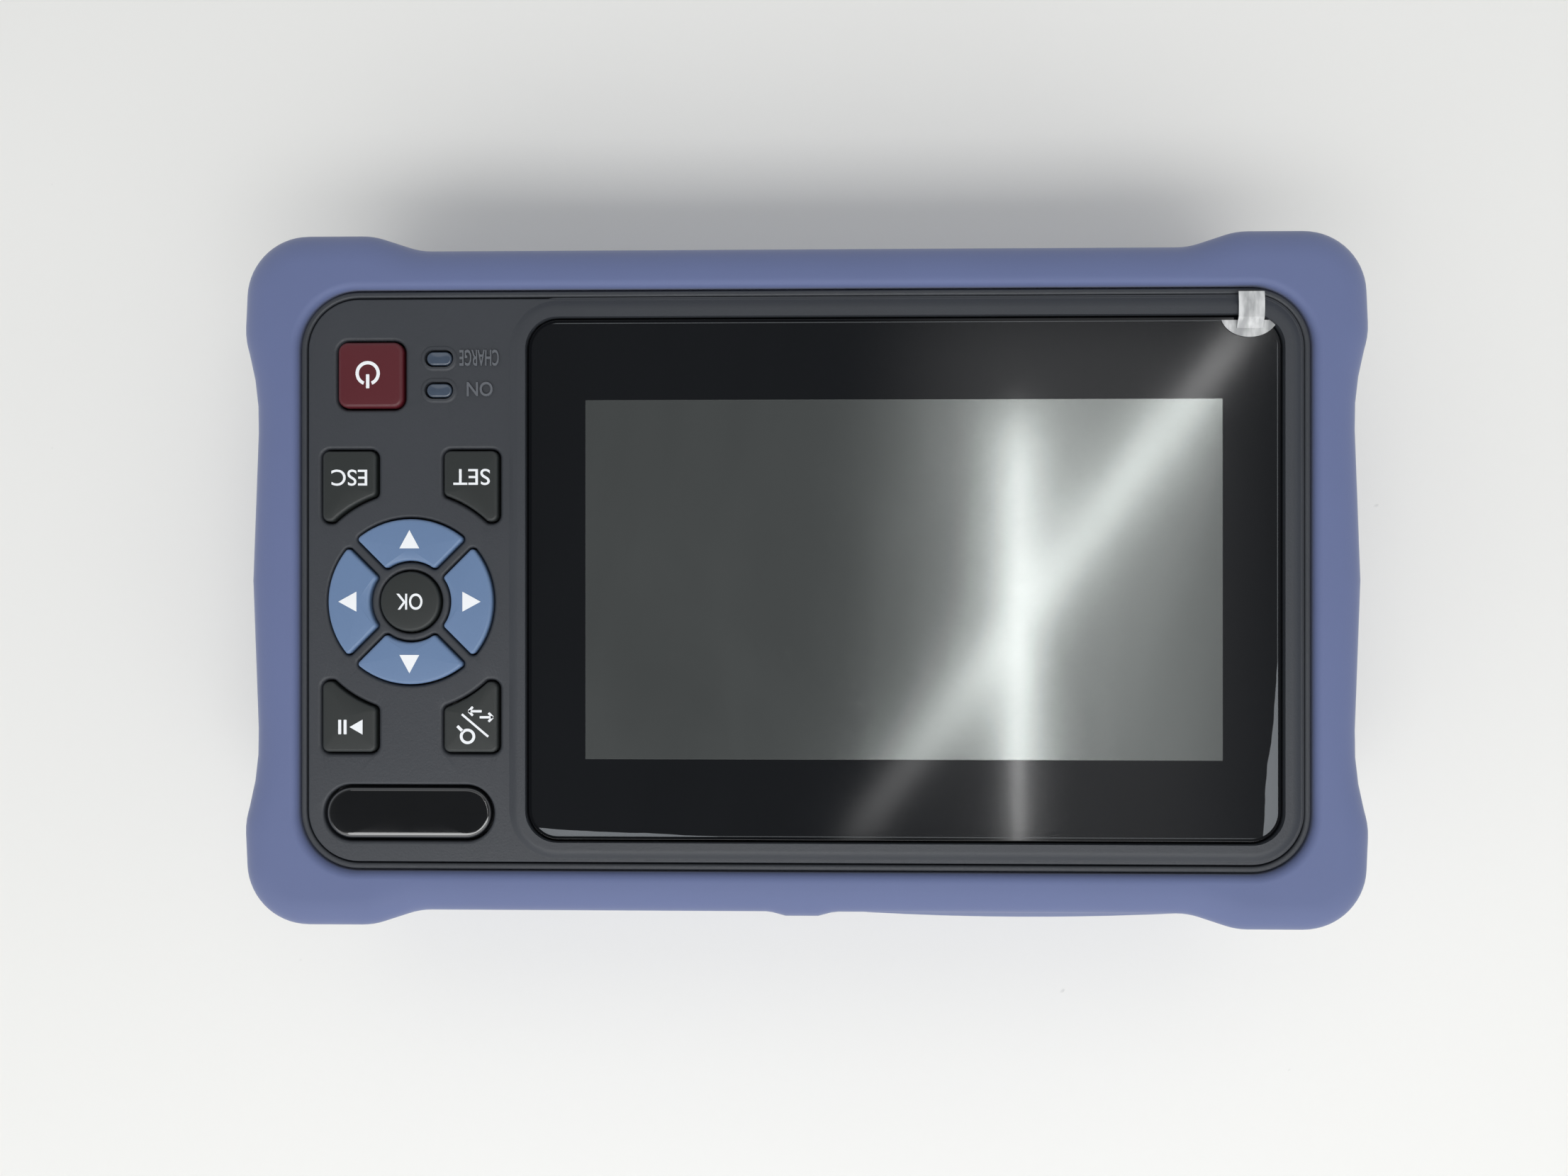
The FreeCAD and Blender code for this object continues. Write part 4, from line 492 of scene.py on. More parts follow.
# %% Skin of the boot
LIP_ROUND, LIP_THICK, LIP_STEPS = 1.1, 2.3, 5
BACK_ROUND, BACK_THICK = 0.6, 2.4
OVER_STEPS, UNDER_STEPS = 10, 8
window = beside(outside, 75.9, 43.8, 9.1)
back_window = beside(outside, 67.0, 35.0, 9.0)
cavity = beside(outside, 79.2, 46.6, 12.1)
rings = [(window, top_of_boot - LIP_THICK)]
rings += quarter_round(window, top_of_boot, LIP_ROUND, LIP_STEPS, reach=-LIP_ROUND)
over = quarter_round(outside, top_of_boot, BOOT_ROUND, OVER_STEPS, reach=BOOT_REACH)[::-1]
under = quarter_round(outside, 0.0, BOOT_ROUND, UNDER_STEPS, up=False)
rings += [(with_nub(points, max(0.0, index / OVER_STEPS * 2 - 1)), z)
          for index, (points, z) in enumerate(over)]
rings += [(with_nub(points, max(0.0, 1 - index / UNDER_STEPS * 2)), z)
          for index, (points, z) in enumerate(under)]
rings += quarter_round(back_window, 0.0, BACK_ROUND, LIP_STEPS, up=False,
                       reach=-BACK_ROUND)[::-1]
rings += [(back_window, BACK_THICK), (cavity, BACK_THICK), (cavity, top_of_boot - LIP_THICK)]
boot_mesh = skin("boot", rings, closed_loop=True, angle=50.0)
print("boot skin", len(boot_mesh.polygons), "faces")

# %% Holes for the hinged covers
def cutter(low, high, radius):
    """A block with rounded corners, seen along Y, used to cut a hole."""
    outline = box_outline((low.x + high.x) / 2, (low.z + high.z) / 2, high.x - low.x,
                          high.z - low.z, radius)
    mesh = skin("cutter", [(outline, low.y), (outline, high.y)])
    mesh.transform(Matrix(((1, 0, 0, 0), (0, 0, 1, 0), (0, 1, 0, 0), (0, 0, 0, 1))))
    mesh.flip_normals()
    return put("cutter", mesh)


def carved(mesh, blocks, name):
    """The mesh with the blocks cut out of it."""
    carrier = carrier_of(mesh, name)
    for block in blocks:
        cut = carrier.modifiers.new("cut", "BOOLEAN")
        cut.object, cut.operation, cut.solver = block, "DIFFERENCE", "EXACT"
    made = taken(carrier, name)
    for block in blocks:
        bpy.data.objects.remove(block)
    return made


COVER_GAP, LUG = 0.3, 2.2
HOLE_FROM, HOLE_TO, HOLE_ROUND = 46.5, 60.0, 0.8
cover_holes = []
for node in ("port_flap", "data_port_cover"):
    low, high = span(node)
    side = COVER_GAP * 2 + LUG
    cover_holes.append(cutter(Vector((low.x - side, HOLE_FROM, low.z - COVER_GAP)),
                              Vector((high.x + side, HOLE_TO, high.z + COVER_GAP)),
                              HOLE_ROUND))
boot_mesh = carved(boot_mesh, cover_holes, "boot")
shade(boot_mesh, 40.0)
boot = new_piece("silicone_boot", boot_mesh, boot_silicone, "case")
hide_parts("bumper")
print("boot", len(boot_mesh.polygons), "faces after the holes")

# %% [markdown]
# ## The moulded face
# The face is a flat plate with fourteen openings. Each outline carries its own stack of
# rings, which rounds its edge, and the flats between the outlines are filled with triangles.
# The shell under it keeps the solid's walls, bosses and port openings, cut off just under
# the plate.

# %% Outlines of the keys
NAV_OUTER, NAV_INNER, WEB = 12.43, 6.16, 1.87
KEY_GAP, ARROW_CORNER, ARC_STEPS = 0.25, 0.5, 16


def arc_angles(half, radius):
    """Angles from -half to half, the end steps long enough for a rounded corner."""
    even = half - 1.0 / radius
    inner = [even * (2 * step / ARC_STEPS - 1) for step in range(ARC_STEPS + 1)]
    return [-half] + inner + [half]


def arrow_points(quarter, grow=0.0):
    """A quarter of the ring round the OK key, between straight webs."""
    outer, inner, web = NAV_OUTER + grow, NAV_INNER - grow, WEB / 2 - grow
    wide = math.radians(45) - math.asin(web / outer)
    narrow = math.radians(45) - math.asin(web / inner)
    arc = [(outer, angle) for angle in arc_angles(wide, outer)]
    arc += [(inner, -angle) for angle in arc_angles(narrow, inner)]
    half = len(arc) // 2
    corners = []
    for index, (radius, angle) in enumerate(arc):
        turned = angle + math.radians(90) * quarter
        sharp = index % half in (0, half - 1)
        corners.append((nav.x + radius * math.cos(turned), nav.y + radius * math.sin(turned),
                        ARROW_CORNER + grow if sharp else 0))
    return rounded(corners)


def corner_points(side_x, side_y, grow=0.0):
    """A corner key, hollow where it follows the ring of arrow keys."""
    near_x, far_x = 5.125 - grow, 13.275 + grow
    near_y, far_y, hollow = 12.05 - grow, 22.65 + grow, 16.8 - grow
    first = math.atan2(near_y, math.sqrt(hollow ** 2 - near_y ** 2))
    last = math.atan2(math.sqrt(hollow ** 2 - near_x ** 2), near_x)
    steps = 10
    corners = [(far_x, near_y, 1.0 + grow), (far_x, far_y, 1.0 + grow),
               (near_x, far_y, 1.0 + grow)]
    for step in range(steps + 1):
        angle = last + (first - last) * step / steps
        corners.append((hollow * math.cos(angle), hollow * math.sin(angle),
                        0.9 if step in (0, steps) else 0))
    placed = [(nav.x + side_x * x, nav.y + side_y * y, radius) for x, y, radius in corners]
    return rounded(placed if side_x * side_y > 0 else placed[::-1])


power = middle_of("power_key")
on_lamp, charge_lamp = middle_of("on_light_pipe"), middle_of("charge_light_pipe")
badge = middle_of("badge_dome")
glass = middle_of("cover_glass")


def power_points(grow=0.0):
    side = 9.85 + 2 * grow
    return box_outline(power.x, power.y, side, side, 1.5 + grow)


def lamp_points(lamp, grow):
    return box_outline(lamp.x, lamp.y, 3.9 + 2 * grow, 2.15 + 2 * grow, 1.07 + grow)


def badge_points(grow):
    return box_outline(badge.x, badge.y, 25.2 + 2 * grow, 7.9 + 2 * grow, 3.94 + grow)


def glass_points(grow):
    return box_outline(glass.x, glass.y, 112.5 + 2 * grow, 78.3 + 2 * grow, 4.6 + grow)


CORNER_KEYS = {"escape_key": (1, -1), "set_key": (-1, -1), "run_key": (1, 1),
               "mode_key": (-1, 1)}
ARROW_KEYS = ("right_key", "up_key", "left_key", "down_key")
OPENING_ROUND, SHARP = 0.45, 0.03
openings = [(power_points(KEY_GAP), 0.6), (ring_outline(nav.x, nav.y, 4.53 + KEY_GAP), 0.4)]
openings += [(arrow_points(quarter, KEY_GAP), OPENING_ROUND) for quarter in range(4)]
openings += [(corner_points(*sides, KEY_GAP), 0.6) for sides in CORNER_KEYS.values()]
openings += [(lamp_points(lamp, 0.2), 0.1) for lamp in (on_lamp, charge_lamp)]
openings += [(badge_points(0.3), OPENING_ROUND), (glass_points(0.25), SHARP)]
print("openings in the face:", len(openings))

# %% The plate of the face
PLATE_LOW = 38.5


def fill_between(made, rows):
    """Triangles inside the first closed row of vertices and outside the others."""
    spots = [vertex for row in rows for vertex in row]
    flat = [Vector(vertex.co.xy) / MILLIMETRE for vertex in spots]
    loops = []
    for row in rows:
        start = sum(len(loop) for loop in loops)
        loops.append(list(range(start, start + len(row))))
    _, _, triangles, given, _, inside = delaunay_2d_cdt(flat, [], loops, 1, 1e-7)
    for triangle, outlines in zip(triangles, inside):
        if outlines == [0]:
            made.faces.new([spots[given[index][0]] for index in triangle])


def plate(name, outlines, low, high):
    """A flat plate of outlines with their edge radii: the outside first, then the holes."""
    made = bmesh.new()
    feet, crests = [], []
    for number, (points, radius) in enumerate(outlines):
        side = 1 if number == 0 else -1
        rings = [(points, low)] + quarter_round(points, high, radius, 5, reach=side * radius)
        rows = [row_of(made, ring, z) for ring, z in rings]
        for lower, upper in zip(rows, rows[1:]):
            join_rows(made, lower, upper)
        feet.append(rows[0])
        crests.append(rows[-1])
    fill_between(made, feet)
    fill_between(made, crests)
    return outward(made, name)


face_outline = box_outline(0, 0, 149.0, 84.8, 7.7)
face_mesh = plate("face", [(face_outline, 0.3)] + openings, PLATE_LOW, face)
print("face plate", len(face_mesh.polygons), "faces")

# %% The rim and the shell under the plate
def joined(name, meshes):
    """Several skins as the parts of one mesh."""
    made = bmesh.new()
    for mesh in meshes:
        made.from_mesh(mesh)
    return mesh_of(made, name)


def merged_copy(node, name):
    """A copy of a node's mesh with its loose triangles merged and its flats joined."""
    made = bmesh.new()
    made.from_mesh(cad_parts[node].data)
    bmesh.ops.remove_doubles(made, verts=made.verts, dist=1e-6)
    bmesh.ops.dissolve_limit(made, angle_limit=math.radians(0.8), verts=made.verts,
                             edges=made.edges)
    return mesh_of(made, name)


def cut_level(mesh, z, name):
    """The part of the mesh below a height, closed with a flat cap."""
    made = bmesh.new()
    made.from_mesh(mesh)
    everything = made.verts[:] + made.edges[:] + made.faces[:]
    cut = bmesh.ops.bisect_plane(made, geom=everything, dist=1e-7,
                                 plane_co=(0, 0, z * MILLIMETRE), plane_no=(0, 0, 1),
                                 clear_outer=True)
    edges = [thing for thing in cut["geom_cut"] if isinstance(thing, bmesh.types.BMEdge)]
    bmesh.ops.triangle_fill(made, edges=edges, use_beauty=True)
    return outward(made, name)


rim_outline = box_outline(0, 0, 151.2, 87.0, 8.8)
rim_mesh = skin("rim", [(inset(rim_outline, depth), face - drop) for depth, drop in (
    (0.0, face - PLATE_LOW), (0.0, 0.3), (0.07, 0.12), (0.2, 0.02), (0.32, 0.0), (0.58, 0.0),
    (0.7, 0.02), (0.83, 0.12), (0.9, 0.3), (0.9, face - PLATE_LOW))], closed_loop=True)
shell_mesh = cut_level(merged_copy("front_housing", "shell"), PLATE_LOW - 0.05, "shell")
print("rim", len(rim_mesh.polygons), "shell", len(shell_mesh.polygons), "faces")

# %% [markdown]
# ## Beads that follow an outline
# A soft bead runs round the screen, and a thin one round each lamp window. Each is the same
# rule with other sizes, so a small Geometry Nodes tree makes them: a section with a steep
# inner wall, a flat crest and a soft outer flank is swept along a closed path. A swept
# section has its Y axis pointing down, so its heights are turned over and its faces flipped.

# %% Geometry Nodes tree for a bead
FLANK, FOOT = 0.62, 0.0001


def bead_tree():
    tree = bpy.data.node_groups.new("bead", "GeometryNodeTree")
    for name, kind in (("Path", "Geometry"), ("Width", "Float"), ("Rise", "Float"),
                       ("Steps", "Int"), ("Finish", "Material")):
        tree.interface.new_socket(name, in_out="INPUT", socket_type="NodeSocket" + kind)
    tree.interface.new_socket("Bead", in_out="OUTPUT", socket_type="NodeSocketGeometry")
    kinds = {"given": "NodeGroupInput", "path": "GeometryNodeMeshToCurve",
             "round": "GeometryNodeCurvePrimitiveCircle", "place": "GeometryNodeInputPosition",
             "split": "ShaderNodeSeparateXYZ", "flank": "ShaderNodeMapRange",
             "spot": "ShaderNodeCombineXYZ", "bend": "GeometryNodeSetPosition",
             "sweep": "GeometryNodeCurveToMesh", "turn": "GeometryNodeFlipFaces",
             "smooth": "GeometryNodeSetShadeSmooth", "real": "GeometryNodeRealizeInstances",
             "paint": "GeometryNodeSetMaterial", "result": "NodeGroupOutput"}
    made = {key: tree.nodes.new(kind) for key, kind in kinds.items()}
    for key, operation in (("upper", "GREATER_THAN"), ("crest", "MULTIPLY"),
                           ("raised", "MULTIPLY"), ("sunk", "SUBTRACT"), ("wide", "MULTIPLY")):
        made[key] = tree.nodes.new("ShaderNodeMath")
        made[key].operation = operation
    made["flank"].interpolation_type = "SMOOTHSTEP"
    for key, socket, value in (("round", "Radius", 0.5), ("flank", "From Min", 0.5),
                               ("flank", "From Max", 0.5 - FLANK), ("upper", 1, 0.0),
                               ("sunk", 0, FOOT)):
        made[key].inputs[socket].default_value = value
    for source, output, target, socket in (
            ("given", "Path", "path", "Mesh"), ("given", "Steps", "round", "Resolution"),
            ("place", "Position", "split", "Vector"), ("split", "X", "flank", "Value"),
            ("split", "Y", "upper", 0),
            ("flank", "Result", "crest", 0), ("given", "Rise", "crest", 1),
            ("crest", 0, "raised", 0), ("upper", 0, "raised", 1), ("raised", 0, "sunk", 1),
            ("split", "X", "wide", 0), ("given", "Width", "wide", 1),
            ("wide", 0, "spot", "X"), ("sunk", 0, "spot", "Y"),
            ("round", "Curve", "bend", "Geometry"), ("spot", "Vector", "bend", "Position"),
            ("path", "Curve", "sweep", "Curve"),
            ("bend", "Geometry", "sweep", "Profile Curve"),
            ("sweep", "Mesh", "turn", "Mesh"), ("turn", "Mesh", "smooth", "Geometry"),
            ("smooth", "Geometry", "real", "Geometry"),
            ("real", "Geometry", "paint", "Geometry"),
            ("given", "Finish", "paint", "Material"), ("paint", "Geometry", "result", "Bead")):
        tree.links.new(made[source].outputs[output], made[target].inputs[socket])
    return tree


BEAD_TREE = bead_tree()


def grown(tree, mesh, values, name):
    """The plain mesh that a tree grows from a mesh, for inputs given by name."""
    carrier = carrier_of(mesh, name)
    growth = carrier.modifiers.new("growth", "NODES")
    growth.node_group = tree
    for item in tree.interface.items_tree:
        if item.in_out == "INPUT" and item.name in values:
            growth[item.identifier] = values[item.name]
    return taken(carrier, name)


def path_mesh(points, z):
    """A closed path as a mesh of edges only."""
    mesh = bpy.data.meshes.new("path")
    spots = [Vector((*point, z)) * MILLIMETRE for point in points]
    mesh.from_pydata(spots, [(i, (i + 1) % len(spots)) for i in range(len(spots))], [])
    return mesh


def bead(name, points, z, width, rise, finish, steps=48):
    made = grown(BEAD_TREE, path_mesh(points, z), {
        "Width": width * MILLIMETRE, "Rise": rise * MILLIMETRE, "Steps": steps,
        "Finish": finish}, name)
    low = min(vertex.co.z for vertex in made.vertices) * 1000
    high = max(vertex.co.z for vertex in made.vertices) * 1000
    print(name, "from", round(low, 2), "to", round(high, 2), "mm,", len(made.polygons),
          "faces")
    return made


BEAD_WIDTH, BEAD_RISE = 3.0, 0.7
LAMP_BEAD_WIDTH, LAMP_BEAD_RISE = 0.8, 0.3
screen_bead = bead("screen_bead", glass_points(0.25 + BEAD_WIDTH / 2), face, BEAD_WIDTH,
                   BEAD_RISE, housing_plastic)
lamp_beads = [bead("lamp_bead", lamp_points(lamp, 0.62), face, LAMP_BEAD_WIDTH,
                   LAMP_BEAD_RISE, housing_plastic, 24) for lamp in (on_lamp, charge_lamp)]

# %% [markdown]
# ## Letters and signs
# The lamp names are raised in the moulding, and the key legends are printed. Letters are
# text objects turned into meshes and fitted to a height; signs are bars, rings and
# triangles built from their corners.

# %% Helpers for letters and signs
KEY_FOOT, KEY_TOP = 37.6, span("ok_key")[1].z
INK = (KEY_TOP - 0.16, KEY_TOP + 0.015)


def letters(text, x, y, width, height, low, high, weight):
    """Upright letters fitted to a width and height, between two heights above the back."""
    curve = bpy.data.curves.new(text, "FONT")
    curve.body, curve.offset = text, weight
    curve.extrude, curve.resolution_u = 0.1, 6
    mesh = taken(carrier_of(curve, text), text)
    spots = [vertex.co for vertex in mesh.vertices]
    lows = [min(spot[axis] for spot in spots) for axis in range(3)]
    highs = [max(spot[axis] for spot in spots) for axis in range(3)]
    wanted_low = (x - width / 2, y - height / 2, low)
    wanted = (width, height, high - low)
    for vertex in mesh.vertices:
        for axis in range(3):
            share = (vertex.co[axis] - lows[axis]) / (highs[axis] - lows[axis])
            vertex.co[axis] = (wanted_low[axis] + share * wanted[axis]) * MILLIMETRE
    made = bmesh.new()
    made.from_mesh(mesh)
    return outward(made, text, merge=1e-8)


def slab(points, low, high):
    """A thin flat sign from its outline."""
    return skin("sign", [(points, low), (points, high)])


def bar(x1, y1, x2, y2, width):
    along = Vector((x2 - x1, y2 - y1)).normalized() * (width / 2)
    side = Vector((-along.y, along.x))
    start, end = Vector((x1, y1)), Vector((x2, y2))
    corners = (start - side, end - side, end + side, start + side)
    return slab(rounded([(*corner, 0.08) for corner in corners]), *INK)


BAND_STEPS = 40


def arc_band(x, y, radius, stroke, first, last):
    """Part of a ring, from one angle to another, in degrees."""
    made = bmesh.new()
    rows = []
    for step in range(BAND_STEPS + 1):
        turn = math.radians(first + (last - first) * step / BAND_STEPS)
        across, along = math.cos(turn), math.sin(turn)
        rows.append([made.verts.new(Vector((x + reach * across, y + reach * along, z))
                                    * MILLIMETRE)
                     for reach, z in ((radius, INK[0]), (radius, INK[1]),
                                      (radius - stroke, INK[1]), (radius - stroke, INK[0]))])
    for near, far in zip(rows, rows[1:]):
        join_rows(made, near, far)
    if last - first < 360:
        made.faces.new(rows[0])
        made.faces.new(rows[-1])
    return outward(made, "ring", merge=1e-8)


housing_mesh = joined("front_housing", [face_mesh, rim_mesh, shell_mesh, screen_bead]
                      + lamp_beads)
shade(housing_mesh, 32)
housing = new_piece("moulded_front", housing_mesh, housing_plastic, "case")
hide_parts("front_housing")
lamp_names = [letters(*name, face - 0.1, face + 0.25, 0.012) for name in
              (("CHARGE", 48.5, -33.45, 5.95, 2.43), ("ON", 48.4, -28.75, 3.9, 2.15))]
names_mesh = joined("lamp_names", lamp_names)
names_mesh.shade_flat()
# the names are painted lighter than the face: a painted highlight on their raised tops
names_piece = new_piece("lamp_names", names_mesh, rubbed_letter_highlight_plastic, "case")
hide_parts("front_housing")
print("front of the housing", len(housing_mesh.polygons), "faces")

# %% [markdown]
# ## Keys with printed legends
# Each key is a pillow: straight sides, a rounded edge and a faintly domed top. The printed
# legend is a skin of ink a few hundredths of a millimetre thick, made with the key, so both
# go down together.

# %% Key caps
KEY_CROWN = 0.12


def cap(node, points, finish, signs, edge):
    mesh = pillow(node + "_cap", points, KEY_FOOT, KEY_TOP, edge, KEY_CROWN)
    key = new_piece(node + "_cap", mesh, finish, node)
    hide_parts(node)
    ink = joined(node + "_legend", signs)
    ink.shade_flat()
    new_piece(node + "_legend", ink, legend_ink, node)
    print(node, "cap", len(mesh.polygons), "faces, signs", len(signs))


def chevron(tip, tail, head, width):
    """An arrow as three bars: its shaft and the two sides of its head."""
    (tx, ty), (sx, sy) = tip, tail
    back = 1 if sx > tx else -1
    barb = tx + back * head
    return [bar(tx, ty, x, y, width) for x, y in ((sx, sy), (barb, ty + head),
                                                  (barb, ty - head))]


px, py = power.x + 0.3, power.y - 0.2
power_signs = [arc_band(px, py, 1.84, 0.5, 112, 428),
               bar(px, py + 0.15, px, py + 2.25, 0.5)]
cap("power_key", power_points(), red_key_plastic, power_signs, 0.6)
ok_sign = letters("OK", nav.x, nav.y, 3.95, 2.45, *INK, 0.008)
cap("ok_key", ring_outline(nav.x, nav.y, 4.53), dark_key_plastic,
    [ok_sign], 0.5)
for quarter, node in enumerate(ARROW_KEYS):
    turned = Matrix.Rotation(math.radians(90) * quarter, 2)
    triangle = [Vector(spot) for spot in ((10.75, 0.0), (8.0, 1.5), (8.0, -1.5))]
    sign = slab([turned @ spot + nav.xy for spot in triangle], *INK)
    cap(node, arrow_points(quarter), blue_key_plastic, [sign], 0.45)

mx, my = nav.xy
escape_sign = letters("ESC", mx + 9.09, my - 18.63, 5.4, 2.43, *INK, 0.004)
set_sign = letters("SET", mx - 9.39, my - 18.7, 5.49, 2.43, *INK, 0.004)
run_signs = [bar(mx + x, my + 17.75, mx + x, my + 19.93, 0.45) for x in (9.71, 10.53)]
run_signs.append(slab([Vector((mx + x, my + y)) for x, y in
                       ((7.08, 17.72), (9.04, 18.84), (7.08, 19.96))], *INK))
mode_signs = [arc_band(mx - 8.78, my + 20.2, 1.16, 0.42, 0, 360),
              bar(mx - 8.05, my + 19.45, mx - 7.24, my + 18.65, 0.45),
              bar(mx - 7.92, my + 16.88, mx - 11.9, my + 20.24, 0.33)]
mode_signs += chevron((mx - 8.94, my + 16.43), (mx - 10.92, my + 16.43), 0.65, 0.36)
mode_signs += chevron((mx - 12.59, my + 17.33), (mx - 10.61, my + 17.33), 0.65, 0.36)
corner_signs = {"escape_key": [escape_sign], "set_key": [set_sign], "run_key": run_signs,
                "mode_key": mode_signs}
for node, sides in CORNER_KEYS.items():
    cap(node, corner_points(*sides), dark_key_plastic,
        corner_signs[node], 0.5)

# %% [markdown]
# ## Lamps, badge and screen
# The lamp windows and the badge are pillows too. The cover glass is a thin slab with a black
# printed border; the display behind it reads as a dull grey field, so the glass is painted
# by position, and its gloss comes from a clear coat. Handling leaves fine scratches and
# smears, which vary the roughness of that coat's base.

# %% Lamps and badge
FIT = 0.02
for lamp, node in ((on_lamp, "on_light_pipe"), (charge_lamp, "charge_light_pipe")):
    mesh = pillow(node + "_window", lamp_points(lamp, -FIT), KEY_FOOT, face + 0.12, 0.35, 0.08)
    window_piece = new_piece(node + "_window", mesh, lamp_window, "case")
    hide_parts(node)
badge_mesh = pillow("badge", badge_points(-FIT), face - 0.75, face + 0.35, 0.8, 0.1, 9)
badge_piece = new_piece("blank_badge", badge_mesh, badge_resin, "case")
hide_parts("badge_dome")
print("lamps and badge made")

# %% Finish of the glass
ACTIVE, BLUR, GLASS_FOOT = (95.04, 53.86), 0.05, 39.4


def inside_box(finish, centre, size):
    """1 inside a rectangle given in millimetres, 0 outside, with a narrow soft edge."""
    across, along = [(place - middle).size().ramp(side / 2 - BLUR, side / 2 + BLUR, 1.0, 0.0)
                     for place, middle, side in zip(finish.axes(), centre, size)]
    return across * along


def screen_finish():
    finish = Finish("screen_glass", Coat_Weight=0.12, Coat_Roughness=0.03, IOR=1.45)
    display = inside_box(finish, glass, ACTIVE)
    smear = finish.noise(60.0, 5.0, (1.0, 0.35, 1.0), 0.6)
    scratch = finish.noise(1500.0, 2.0, (0.3, 1.0, 1.0), 1.5).ramp(0.68, 0.78)
    border = finish.mix(smear, paint(3, 4, 7), paint(8, 10, 14))
    field = finish.mix(smear, paint(128, 132, 130), paint(146, 150, 148))
    finish.set("Base Color", finish.mix(display, border, field))
    finish.set("Metallic", display * 0.9)
    finish.set("Roughness", smear * 0.06 + scratch * 0.04 + display * 0.04 + 0.07)
    return finish.material


screen_glass = screen_finish()
glass_mesh = pillow("glass", glass_points(-FIT), GLASS_FOOT, glass_high.z, 0.18, 0.0, 2)
glass_piece = new_piece("front_glass", glass_mesh, screen_glass, "case")
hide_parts("cover_glass")
print("glass", len(glass_mesh.polygons), "faces")

# %% [markdown]
# ## The protective film
# A clear film lies on the glass, with a pull tab that climbs over the bead in one corner.
# It is nearly invisible where it sticks. Where air has crept under its edge it is painted
# pale and less clear, a painted reflection of the air gap, and its alpha follows those places.

# %% Film and pull tab
def film_finish():
    finish = Finish("clear_film", IOR=1.45)
    x, y, _ = finish.axes()
    wave = finish.noise(90.0, 3.0) - 0.5
    left, low, high = glass_low.x, glass_low.y, glass_high.y
    side = (x - left - wave * 1.6 - (y - 8.0) * 0.10).ramp(0.0, 0.15, 1.0, 0.0)
    side = side * (y + wave * 2.0).ramp(8.0, 9.0)
    upper = (high - y + wave * 0.8 - (x - 12.0) * 0.045).ramp(0.5, 0.6, 1.0, 0.0)
    upper = upper * x.ramp(12.0, 13.0)
    rim = (x - left).lesser(y - low).lesser(high - y).ramp(0.65, 0.75, 1.0, 0.0)
    loose = side.greater(upper).greater(rim * 0.25)
    # painted reflection: where the film is loose over air, its colour is painted pale and its
    # alpha raised
    finish.set("Base Color", finish.mix(loose, paint(200, 205, 208), paint(150, 154, 158)))
    finish.set("Alpha", loose * 0.32 + 0.004)
    finish.set("Roughness", wave * 0.1 + 0.2)
    return finish.material


def tab_finish():
    finish = Finish("film_tab", IOR=1.45)
    wave = finish.noise(600.0, 3.0, (1.0, 0.3, 1.0))
    finish.set("Base Color", finish.mix(wave, paint(150, 153, 156), paint(245, 245, 243)))
    finish.set("Alpha", wave.ramp(0.35, 0.65, 0.55, 0.95))
    finish.set("Roughness", wave * 0.3 + 0.15)
    finish.bump(wave, 0.00008)
    return finish.material


clear_film, film_tab = film_finish(), tab_finish()
film_points = glass_points(-0.6)
film_mesh = slab(film_points, glass_high.z + 0.02, glass_high.z + 0.12)
film_piece = new_piece("clear_film", film_mesh, clear_film, "case")
tab_x, tab_edge = -66.5, glass_low.y + 0.6


def ribbon(name, x, width, path, thickness):
    """A thin strip across X that follows a path of (y, z) points."""
    made = bmesh.new()
    section = ((-1, 0), (1, 0), (1, thickness), (-1, thickness))
    rows = [[made.verts.new(Vector((x + side * width / 2, y, z + lift)) * MILLIMETRE)
             for side, lift in section] for y, z in path]
    for near, far in zip(rows, rows[1:]):
        join_rows(made, near, far)
    made.faces.new(rows[0])
    made.faces.new(rows[-1][::-1])
    return outward(made, name, 60)


crest = face + BEAD_RISE + 0.14
tab_path = [(tab_edge + 1.2, glass_high.z + 0.13), (tab_edge + 0.4, crest - 0.45),
            (tab_edge - 0.3, crest - 0.06), (tab_edge - 1.2, crest),
            (tab_edge - 2.6, crest + 0.02), (tab_edge - 4.1, crest - 0.1)]
tab_mesh = ribbon("tab", tab_x, 3.8, tab_path, 0.12)
turns = [math.radians(angle) for angle in range(15, 166, 6)]
segment = [Vector((tab_x + 4.3 * math.cos(turn), tab_edge - 0.9 + 3.4 * math.sin(turn)))
           for turn in turns]
segment_mesh = slab(segment, glass_high.z + 0.125, glass_high.z + 0.16)
tab_piece = new_piece("pull_tab", joined("pull_tab", [tab_mesh, segment_mesh]), film_tab,
                      "case")
tab_piece.data.shade_flat()
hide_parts("screen_film")
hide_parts("screen_film")
print("film and tab made")

# %% [markdown]
# ## Covers, stand and ports
# These pieces have the right shape already, so each is a merged copy of its solid, most with a
# small bevel that catches the light on the edges, and a finish of its own.

# %% Softened copies of the solids
def softened(node, finish, body, width):
    carrier = carrier_of(merged_copy(node, node + "_soft"), node)
    if width:
        edges = carrier.modifiers.new("edges", "BEVEL")
        edges.width, edges.segments = width * MILLIMETRE, 3
        edges.limit_method, edges.angle_limit = "ANGLE", math.radians(30)
        edges.use_clamp_overlap = True
    made = taken(carrier, node + "_soft")
    made.materials.clear()
    shade(made, 40)
    piece = new_piece(node + "_soft", made, finish, body)
    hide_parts(node)
    print(node, len(made.polygons), "faces")


